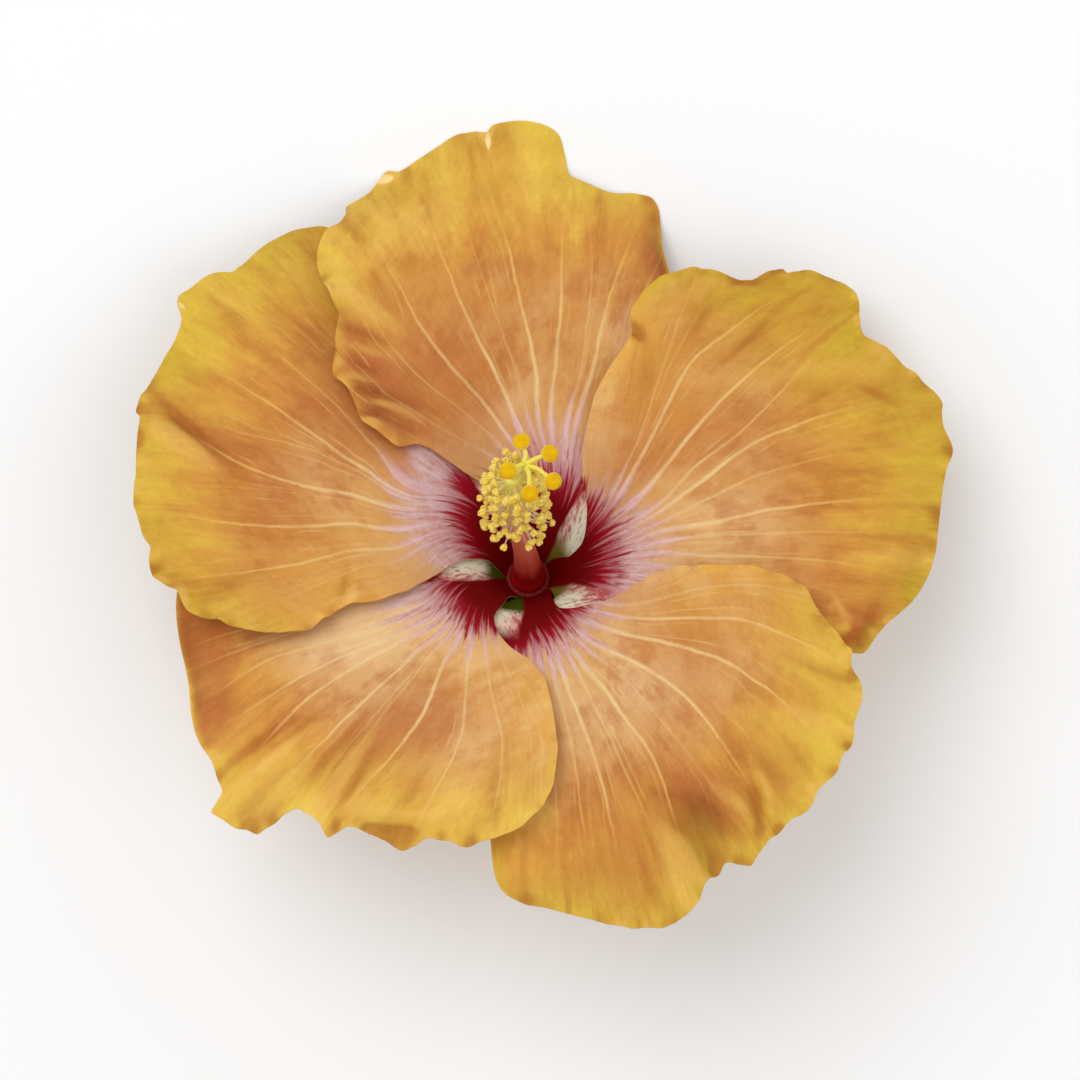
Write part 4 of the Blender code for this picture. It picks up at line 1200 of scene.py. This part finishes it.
# Petal colours by reach, from the throat's edge to the rim
PETAL_BAND = ((18, colour(206, 154, 100)), (32, colour(208, 154, 90)),
              (44, colour(203, 146, 80)), (55, colour(203, 138, 68)),
              (63, colour(208, 141, 64)), (72, colour(214, 152, 64)),
              (82, colour(216, 166, 68)), (90, colour(217, 178, 76)))
FIBRE_GREYS = ((-0.2, colour(164, 164, 164)), (0.0, colour(188, 188, 188)),
               (0.2, colour(210, 210, 210)))
PEACH = colour(226, 184, 132)
# Brown of the petal's mottles, also painted shade in the stain spots
BROWN_AND_SHADE = colour(180, 102, 52)
# Painted shade in the valleys of folds, and painted light on their ridges
VALLEY_SHADE = colour(158, 80, 32)
RIDGE_LIGHT = colour(234, 184, 94)
# Painted light on the golden spots, partly their own gold
GLOW = colour(238, 192, 92)
GLOW_INNER = colour(236, 196, 146)
RIM_GOLD = colour(222, 182, 72)
RIM_OLIVE = colour(186, 156, 28)
RIM_ORANGE = colour(224, 166, 68)
# Streaks of the outer blade: partly their own colour, partly painted shade and light of its folds
OUTER_BROWN_SHADE = colour(170, 98, 34)
OUTER_YELLOW_LIGHT = colour(240, 206, 92)
OUTER_OLIVE_LIGHT = colour(210, 186, 44)
# Painted deep shade on curled-back edges, in tight folds and under overlapping petals
DEEP_SHADE = colour(122, 62, 20)
# Painted highlight on curled tips, standing in for their pale turned-over edge
TIP_HIGHLIGHT = colour(250, 228, 160)
VEIN_CREAM = colour(232, 202, 142)
VEIN_GOLD = colour(230, 178, 92)
VEIN_PINK = colour(220, 178, 172)
MAUVE = colour(198, 146, 144)
LAVENDER = colour(214, 184, 186)
MAUVE_DEEP = colour(160, 66, 86)
STRAND_PALE = colour(224, 200, 202)
STRAND_RED = colour(164, 84, 100)
EYE = colour(112, 0, 4)
EYE_RIM = colour(150, 2, 28)
EAR_PALE = colour(240, 242, 214)
EAR_PINK = colour(218, 150, 140)
EAR_SPECK = colour(160, 34, 58)
NECK_GREEN = colour(62, 80, 8)
NECK_OLIVE = colour(132, 116, 40)
CLAW_RED = colour(170, 60, 62)
BACK_PALE = colour(222, 190, 120)

# Noises on a petal: (offset, scale across, scale along, detail, roughness). The
# streaks follow the veins, and the patches lie on the blade.
STREAKS = {
    "fine": (0.5, 5.0, 0.16, 3.0, 0.6), "middle": (2.5, 2.6, 0.11, 3.0, 0.6),
    "broad": (3.5, 1.5, 0.05, 2.0, 0.5), "wobble": (6.5, 0.7, 0.13, 2.0, 0.5),
    "fibre": (9.5, 10.0, 0.22, 3.0, 0.65), "vein_fade": (14.5, 1.1, 0.12, 2.0, 0.5),
    "vein_sway": (17.5, 0.6, 0.05, 2.0, 0.5), "vein_breaks": (21.5, 1.4, 0.10, 2.0, 0.5),
    "dashes": (24.5, 3.2, 0.24, 3.0, 0.5), "outer": (28.5, 1.6, 0.045, 1.5, 0.5),
    "strands": (30.5, 4.5, 0.12, 2.0, 0.65), "outer_fine": (35.5, 5.0, 0.07, 2.0, 0.55),
}
PATCHES = {
    "cloud": (5.5, 0.17, 0.12, 3.0, 0.6), "specks": (7.5, 1.6, 0.6, 3.0, 0.65),
    "grain": (12.5, 1.3, 1.0, 3.0, 0.7), "wash": (18.5, 0.07, 0.05, 2.0, 0.6),
    "outer": (33.5, 0.20, 0.12, 2.0, 0.6),
}

# Bumps: (depth in millimetres, strength)
PETAL_BUMP = (0.10, 0.45)
COLUMN_BUMP = (0.05, 0.5)
FILAMENT_BUMP = (0.02, 0.4)
ANTHER_BUMP = (0.08, 0.7)
STYLE_BUMP = (0.03, 0.4)
STIGMA_BUMP = (0.12, 0.8)
SEPAL_BUMP = (0.10, 0.7)
STALK_BUMP = (0.06, 0.6)

# The middle values of a noise, where it changes from one colour to another
MIDDLE_NOISE = (0.35, 0.65)
FIBRE_SHARE = 0.5
MAIN_VEIN = 0.68
LESSER_VEIN_WIDTH = 0.32
VEIN_LIMIT = 0.78


class PetalFinish(Finish):
    """A petal's skin, by its veins, its reach from the throat and its edges."""

    def __init__(self, petal, seed):
        super().__init__(f"petal_skin_{seed}", Roughness=0.62, Specular_IOR_Level=0.1)
        self.petal = petal
        self.seed = seed
        self.flow, self.gap, self.reach = self.mark("flow"), self.mark("gap"), self.mark("reach")
        self.strength, self.arc = self.mark("strength"), self.mark("arc")
        self.to_eye, self.to_blush = self.mark("eye"), self.mark("blush")
        self.fine, self.middle, self.broad = map(self.streak, ("fine", "middle", "broad"))
        self.cloud, self.grain, self.wash = map(self.patch, ("cloud", "grain", "wash"))
        self.wobble = self.streak("wobble")
        # The stain spots: partly the petal's own brown, partly painted shade and painted light
        self.stain_and_shade = self.mark("stain_and_shade") + self.cloud * 0.7 + self.middle * 0.35
        self.halo = (self.math("COSINE", self.flow * math.tau)
                     * (self.strength + 0.2).at_most(1.0))

    def waver(self, sideways, offset, across, along, detail, roughness):
        """Noise about 0, by a way across the petal and the reach."""
        at = self.place(sideways * across, self.reach * along, self.seed + offset)
        return self.noise(at, detail, roughness) - 0.5

    def streak(self, name):
        return self.waver(self.flow, *STREAKS[name])

    def patch(self, name):
        return self.waver(self.arc, *PATCHES[name])

    def blade(self):
        """The colour by reach, with brown patches, the stain spots (partly real brown and gold, partly
        painted shade and painted light) and a lighter painted glow.
        """
        reach, stain_and_shade = self.reach, self.stain_and_shade
        level = reach + self.broad * 10.0 + self.middle * 6.0 + self.wash * 26.0
        inner = reach.ramp(18, 28) * reach.ramp(38, 66, 1.0, 0.0)
        pale = (self.wash * -1.6 + self.petal["peach"]).at_least(0.0)
        patches = ((self.cloud + self.middle * 0.25).ramp(-0.07, 0.17) * reach.ramp(22, 34)
                   * reach.ramp(58, 76, 1.0, 0.3) * 0.5)
        # Painted glow of light on the golden spots
        glow = self.mix(reach.ramp(47, 66), GLOW_INNER, GLOW)
        return self.coats(
            self.scale_colour(level, PETAL_BAND), (inner * pale, PEACH), (patches, BROWN_AND_SHADE),
            (stain_and_shade.ramp(0.05, 1.2, 0.0, 0.85), BROWN_AND_SHADE), (stain_and_shade.ramp(-1.0, -0.05, 0.85, 0.0), glow),
            (stain_and_shade.ramp(1.1, 2.2, 0.0, 0.75), DEEP_SHADE))

    def outer_zone(self, shade):
        """The golden rim; the outer blade's streaks, partly their own colour and partly painted shade and
        light of its folds; a painted highlight on curled tips; painted shade in the creases and painted
        light on their ridges.
        """
        reach, stain_and_shade, olive = self.reach, self.stain_and_shade, self.petal["olive"]
        rim = self.mark("gold") * (self.broad * 1.1 + 0.8 + self.cloud * 0.5)
        golden = self.mix(reach.ramp(44, 62), RIM_ORANGE, self.mix(olive, RIM_GOLD, RIM_OLIVE))
        # Streaks of the outer blade, partly painted shade and light of its folds
        outer = self.streak("outer") + self.streak("outer_fine") * 0.5 + self.patch("outer") * 0.45
        yellow_light = (outer.ramp(-0.34, 0.02, 0.5, 0.0) * reach.ramp(48, 70)
                  * stain_and_shade.ramp(0.0, 0.8, 1.0, 0.2))
        # Painted shade in fold valleys and painted light on fold ridges
        fold_shading = self.mark("crease") + self.middle * 0.12
        return self.coats(
            shade, (rim.at_least(0.0), golden),
            (outer.ramp(-0.04, 0.34, 0.0, 0.55) * reach.ramp(42, 62), OUTER_BROWN_SHADE),
            (yellow_light, self.mix(olive, OUTER_YELLOW_LIGHT, OUTER_OLIVE_LIGHT)),
            (stain_and_shade.ramp(-2.0, -1.2, 0.9, 0.0), TIP_HIGHLIGHT),
            (fold_shading.ramp(0.0, 0.8, 0.0, 0.56), VALLEY_SHADE),
            (fold_shading.ramp(-0.7, -0.05, 0.42, 0.0), RIDGE_LIGHT))

    def vein(self, flow, gap, width):
        """1 on a vein and 0 beside it."""
        off = flow - self.math("ROUND", flow)
        distance = self.math("ABSOLUTE", off * gap + self.wobble)
        return (distance / width).ramp(0.15, 1.0, 1.0, 0.0)

    def main_veins(self):
        fade = (self.reach.ramp(56, 74, 1.0, 0.0) * self.strength
                * (self.streak("vein_fade") * 1.3 + 0.85 + self.grain * 0.7))
        width = self.reach.ramp(20, 66, 1.0, 0.55) * (self.strength * 0.32 + 0.38)
        return self.vein(self.flow, self.gap, width) * fade

    def lesser_veins(self):
        """Thin, broken veins between the main ones."""
        between = self.flow * 2.0 + 0.5 + self.streak("vein_sway") * 1.2
        return (self.vein(between, self.gap * 0.5, LESSER_VEIN_WIDTH)
                * self.reach.ramp(60, 72, 1.0, 0.0) * self.reach.ramp(24, 34)
                * self.streak("vein_breaks").ramp(-0.05, 0.2, 0.0, 0.32))

    def vein_colour(self):
        ripe = self.reach.ramp(30, 62) + -0.5 * self.petal["peach"]
        return self.mix(ripe.at_least(0.0), VEIN_CREAM, VEIN_GOLD)

    def mauve(self):
        """The zone round the eye: mauve and lavender, pink veins, pale and red strands."""
        light = self.cloud + self.grain * 0.5 + self.fine * 0.4
        veined = (self.halo + self.middle).ramp(0.0, 1.0) * self.to_blush.ramp(-4.0, 9.0, 0.9, 0.25)
        strand = self.streak("strands") + self.grain * 0.25
        near = self.to_eye + self.middle * 9.0 + self.fine * 4.0 + self.cloud * 4.0
        return self.coats(
            self.mix(light.ramp(-0.12, 0.22, 0.0, 0.75), MAUVE, LAVENDER), (veined, VEIN_PINK),
            (strand.ramp(0.0, 0.18, 0.0, 0.6), STRAND_PALE),
            (strand.ramp(-0.26, -0.06, 0.55, 0.0), STRAND_RED),
            (near.ramp(-5.0, 0.5, 0.0, 0.75), MAUVE_DEEP))

    def throat(self, shade):
        """The mauve zone, the dashes in it and the dark eye."""
        middle, fine, broad, cloud, halo = (
            self.middle, self.fine, self.broad, self.cloud, self.halo)
        blush = self.to_blush + broad * 6.0 + middle * 9.0 + fine * 3.0 + halo * 4.0 + cloud * 5.0
        dashes = ((self.streak("dashes") + self.grain * 0.25).ramp(0.05, 0.17)
                  * self.to_eye.ramp(-9.0, -2.0, 0.0, 0.75) * self.to_blush.ramp(-1.0, 3.0))
        eye = self.to_eye + middle * 16.0 + fine * 6.0 + broad * 6.0 + halo * -1.2 + cloud * 3.0
        dark = self.mix(self.to_eye.ramp(-1.0, 5.0), EYE_RIM, EYE)
        return self.coats(shade, (blush.ramp(-6.0, 5.0, 0.0, 0.95), self.mauve()),
                          (dashes, EYE_RIM), (eye.ramp(-2.2, 1.8), dark))

    def ear(self, shade):
        """The pale ear beside the claw, blushed, speckled and green at its neck."""
        petal, reach, to_ear = self.petal, self.reach, self.mark("ear")
        share = (to_ear + self.fine * 1.2).ramp(-0.3, 0.5) * reach.ramp(18.0, 22.5, 1.0, 0.0)
        blushed = (to_ear.ramp(0.0, 4.0, 0.6, 0.0)
                   + reach.ramp(13, 19, 0.0, 0.7 * petal["specks"])).at_most(0.9)
        specks = (self.patch("specks") + self.fine * 0.3 + to_ear.ramp(0.0, 4.0, 0.10, -0.05)
                  + (0.14 * petal["specks"] - 0.12) + reach.ramp(14, 20, 0.0, 0.10 * petal["specks"]))
        neck = (reach + self.grain * 2.0).ramp(petal["neck"] - 1.6, petal["neck"] + 0.8, 1.0, 0.0)
        cream = self.coats(self.mix(blushed, EAR_PALE, EAR_PINK),
                           (specks.ramp(-0.06, 0.16, 0.0, 0.8), EAR_SPECK),
                           (neck, self.mix(petal["green"], NECK_OLIVE, NECK_GREEN)))
        return self.mix(share, shade, cream)

    def painted(self):
        fibre = self.streak("fibre") * 0.6 + self.grain * 0.55
        shade = self.outer_zone(self.blade())
        shade = self.mix(FIBRE_SHARE, shade, self.scale_colour(fibre, FIBRE_GREYS), "OVERLAY")
        main = self.main_veins()
        veins = (main * MAIN_VEIN + self.lesser_veins()).at_most(VEIN_LIMIT)
        shade = self.mix(veins, shade, self.vein_colour())
        shade = self.ear(self.throat(shade))
        back = self.mark("back") * self.reach.ramp(8, 26, 0.8, 0.25)
        shade = self.coats(shade, (self.reach.ramp(3.9, 4.5, 0.5, 0.0), CLAW_RED),
                           (back, BACK_PALE))
        self.bump(main * 0.45 + fibre + self.cloud * 0.8, *PETAL_BUMP)
        return self.paint(shade)


# Column colours by height, from the throat to the tip
COLUMN_BAND = ((0, colour(172, 0, 8)), (5.0, colour(184, 14, 20)), (10, colour(206, 78, 60)),
               (18, colour(214, 104, 82)), (27, colour(220, 146, 108)),
               (32, colour(236, 216, 124)), (46, colour(240, 232, 124)),
               (50, colour(238, 234, 104)))
BEAD_PINK = colour(176, 92, 88)
FILAMENT_CREAM = colour(236, 214, 180)
FILAMENT_PINK = colour(240, 208, 200)
FILAMENT_YELLOW = colour(240, 226, 140)
FILAMENT_GRAIN = colour(226, 176, 150)
ANTHER_GOLD = colour(244, 214, 76)
ANTHER_PALE = colour(250, 238, 136)
ANTHER_RIPE = colour(236, 196, 70)
# Painted shade in the anthers' groove
ANTHER_CLEFT_SHADE = colour(212, 160, 46)
ANTHER_GRAIN = colour(214, 170, 50)
STYLE_PALE = colour(240, 232, 112)
STYLE_YELLOW = colour(242, 228, 84)
STYLE_GRAIN = colour(214, 196, 60)
STIGMA_SHEEN = colour(250, 220, 90)
STIGMA_AMBER = colour(226, 176, 0)
STIGMA_GOLD = colour(234, 196, 4)
# Pale rim and foot of each stigma: partly paler colour, partly painted sheen round the face
STIGMA_RIM_SHEEN = colour(244, 214, 120)
STIGMA_GRAIN = colour(222, 146, 4)
SEPAL_DARK = colour(86, 118, 40)
SEPAL_LIGHT = colour(122, 150, 62)
SEPAL_FOOT = colour(150, 168, 84)
SEPAL_RIB = colour(160, 176, 98)
SEPAL_NET = colour(148, 168, 90)
SEPAL_TIP = colour(140, 110, 60)
SEPAL_INSIDE = colour(120, 74, 22)
STALK_DARK = colour(96, 112, 48)
STALK_LIGHT = colour(136, 148, 76)
STALK_DOTS = colour(176, 176, 118)
STALK_DRY = colour(132, 108, 66)
STALK_CUT = colour(206, 204, 150)
STALK_BASE = colour(112, 10, 18)
PAPER = colour(246, 246, 246)


def column_finish():
    skin = Finish("column_skin", Roughness=0.45, Subsurface_Weight=0.1, Subsurface_Scale=0.001)
    height = skin.mark("height")
    streak = skin.noise(skin.place(skin.mark("round") * 2.4, height * 0.12), detail=3.0)
    shade = skin.scale_colour(height + (streak - 0.5) * 7.0, COLUMN_BAND)
    skin.bump(streak, *COLUMN_BUMP)
    return skin.paint(skin.mix(height.ramp(-0.6, -0.2, 1.0, 0.0), shade, BEAD_PINK))


def filament_finish():
    skin = Finish("filament_skin", Roughness=0.4, Subsurface_Weight=0.25,
                  Subsurface_Scale=0.0006)
    grain = skin.noise(skin.spot(3), detail=1.0)
    shade = skin.mix(skin.mark("along").ramp(0.1, 0.9), FILAMENT_CREAM, FILAMENT_PINK)
    skin.bump(grain, *FILAMENT_BUMP)
    return skin.paint(skin.coats(shade, (skin.mark("high").ramp(0.3, 0.75), FILAMENT_YELLOW),
                                 (grain * 0.2, FILAMENT_GRAIN)))


def anther_finish():
    skin = Finish("anther_skin", Roughness=0.7, Specular_IOR_Level=0.2, Sheen_Weight=0.08,
                  Sheen_Roughness=0.5, Subsurface_Weight=0.1, Subsurface_Scale=0.0006)
    grains = skin.cells(skin.spot(5.0))
    cloud = skin.noise(skin.spot(1.2), detail=3.0)
    skin.bump(grains, *ANTHER_BUMP)
    return skin.paint(skin.coats(
        skin.mix(cloud.ramp(*MIDDLE_NOISE), ANTHER_GOLD, ANTHER_PALE),
        (skin.mark("tone") * 0.4, ANTHER_RIPE),
        (skin.mark("lobe").ramp(0.1, 0.9, 0.0, 0.45), ANTHER_CLEFT_SHADE),
        (grains.ramp(0.0, 0.2, 0.25, 0.0), ANTHER_GRAIN)))


def style_finish():
    skin = Finish("style_skin", Roughness=0.35, Subsurface_Weight=0.3, Subsurface_Scale=0.0008)
    grain = skin.noise(skin.spot(2))
    shade = skin.mix(skin.mark("along"), STYLE_PALE, STYLE_YELLOW)
    skin.bump(grain, *STYLE_BUMP)
    return skin.paint(skin.mix(grain * 0.4, shade, STYLE_GRAIN))


def stigma_finish():
    skin = Finish("stigma_skin", Roughness=0.75, Specular_IOR_Level=0.12, Sheen_Weight=0.1,
                  Sheen_Roughness=0.35, Subsurface_Weight=0.1, Subsurface_Scale=0.0006,
                  Sheen_Tint=STIGMA_SHEEN)
    grains = skin.cells(skin.spot(4.2))
    cloud = skin.noise(skin.spot(0.7), detail=3.0)
    skin.bump(grains, *STIGMA_BUMP)
    return skin.paint(skin.coats(
        skin.mix(cloud.ramp(*MIDDLE_NOISE), STIGMA_AMBER, STIGMA_GOLD),
        (skin.mark("pole").ramp(0.05, 0.42, 0.9, 0.0), STIGMA_RIM_SHEEN),
        (grains.ramp(0.0, 0.25, 0.3, 0.0), STIGMA_GRAIN)))


def sepal_finish(name):
    skin = Finish(name, Roughness=0.6, Sheen_Weight=0.25, Sheen_Roughness=0.5,
                  Subsurface_Weight=0.08, Subsurface_Scale=0.001)
    along = skin.mark("along")
    cloud = skin.noise(skin.spot(0.35), detail=4.0)
    hair = skin.noise(skin.spot(3.0), detail=3.0, roughness=0.7)
    net = skin.cells(skin.spot(0.9))
    skin.bump(hair + net * 1.5, *SEPAL_BUMP)
    return skin.paint(skin.coats(
        skin.mix(cloud.ramp(*MIDDLE_NOISE), SEPAL_DARK, SEPAL_LIGHT),
        (along.ramp(0.0, 0.35, 0.55, 0.0), SEPAL_FOOT),
        (skin.mark("rib").ramp(0.0, 0.14, 0.6, 0.0), SEPAL_RIB),
        (net.ramp(0.0, 0.05, 0.35, 0.0), SEPAL_NET), (along.ramp(0.86, 1.0, 0.0, 0.5), SEPAL_TIP),
        (skin.mark("inside"), SEPAL_INSIDE)))


def stalk_finish():
    skin = Finish("stalk_skin", Roughness=0.55, Sheen_Weight=0.15, Sheen_Roughness=0.5)
    along = skin.mark("along")
    streak = skin.noise(skin.place(skin.mark("round") * 3.0, along * 7.0), 4.0, 0.6)
    dots = skin.noise(skin.spot(2.2))
    skin.bump(streak + dots, *STALK_BUMP)
    return skin.paint(skin.coats(
        skin.mix(streak.ramp(*MIDDLE_NOISE), STALK_DARK, STALK_LIGHT),
        (dots.ramp(0.58, 0.68, 0.0, 0.5), STALK_DOTS), (along.ramp(0.85, 1.0, 0.0, 0.45), STALK_DRY),
        (skin.mark("cut"), STALK_CUT), (skin.mark("base"), STALK_BASE)))


def floor_finish():
    skin = Finish("floor_paper", Roughness=0.95, Specular_IOR_Level=0.1)
    return skin.paint(PAPER)


# Stage

def make_floor():
    corners = [(x * FLOOR_HALF, y * FLOOR_HALF, -FLOOR_DROP)
               for x, y in ((-1, -1), (1, -1), (1, 1), (-1, 1))]
    mesh = bpy.data.meshes.new("floor")
    mesh.from_pydata(corners, [], [(0, 1, 2, 3)])
    mesh.materials.append(floor_finish())
    floor = bpy.data.objects.new("floor", mesh)
    bpy.context.scene.collection.objects.link(floor)


def make_light():
    for name, place, size, power in LAMPS:
        lamp = bpy.data.lights.new(name, "AREA")
        lamp.shape = "DISK"
        lamp.size = size
        lamp.energy = power
        holder = bpy.data.objects.new(name, lamp)
        holder.location = place
        way = Vector(LAMP_TARGET) - Vector(place)
        holder.rotation_euler = way.to_track_quat("-Z", "Y").to_euler()
        bpy.context.scene.collection.objects.link(holder)
    world = bpy.data.worlds.new("soft_room")
    world.use_nodes = True
    sky = world.node_tree.nodes["Background"]
    sky.inputs["Color"].default_value = (1.0, 1.0, 1.0, 1.0)
    sky.inputs["Strength"].default_value = SKY_STRENGTH
    bpy.context.scene.world = world
    bpy.context.scene.view_settings.view_transform = "Standard"


def make_camera():
    lens = bpy.data.cameras.new("camera")
    lens.sensor_width = SENSOR
    lens.lens = SENSOR * (CAMERA_HEIGHT - FRAME_LEVEL) / FRAME_WIDTH
    lens.clip_start, lens.clip_end = CAMERA_CLIP
    camera = bpy.data.objects.new("camera", lens)
    camera.location = ((THROAT[0] + CAMERA_OFFSET[0]) * MM,
                       (THROAT[1] + CAMERA_OFFSET[1]) * MM, CAMERA_HEIGHT * MM)
    bpy.context.scene.collection.objects.link(camera)
    bpy.context.scene.camera = camera


make_camera()
make_light()
make_floor()
make_petals()
make_column_tube()
make_stamens()
make_pistil()
make_calyx()
make_epicalyx()
make_stalk()
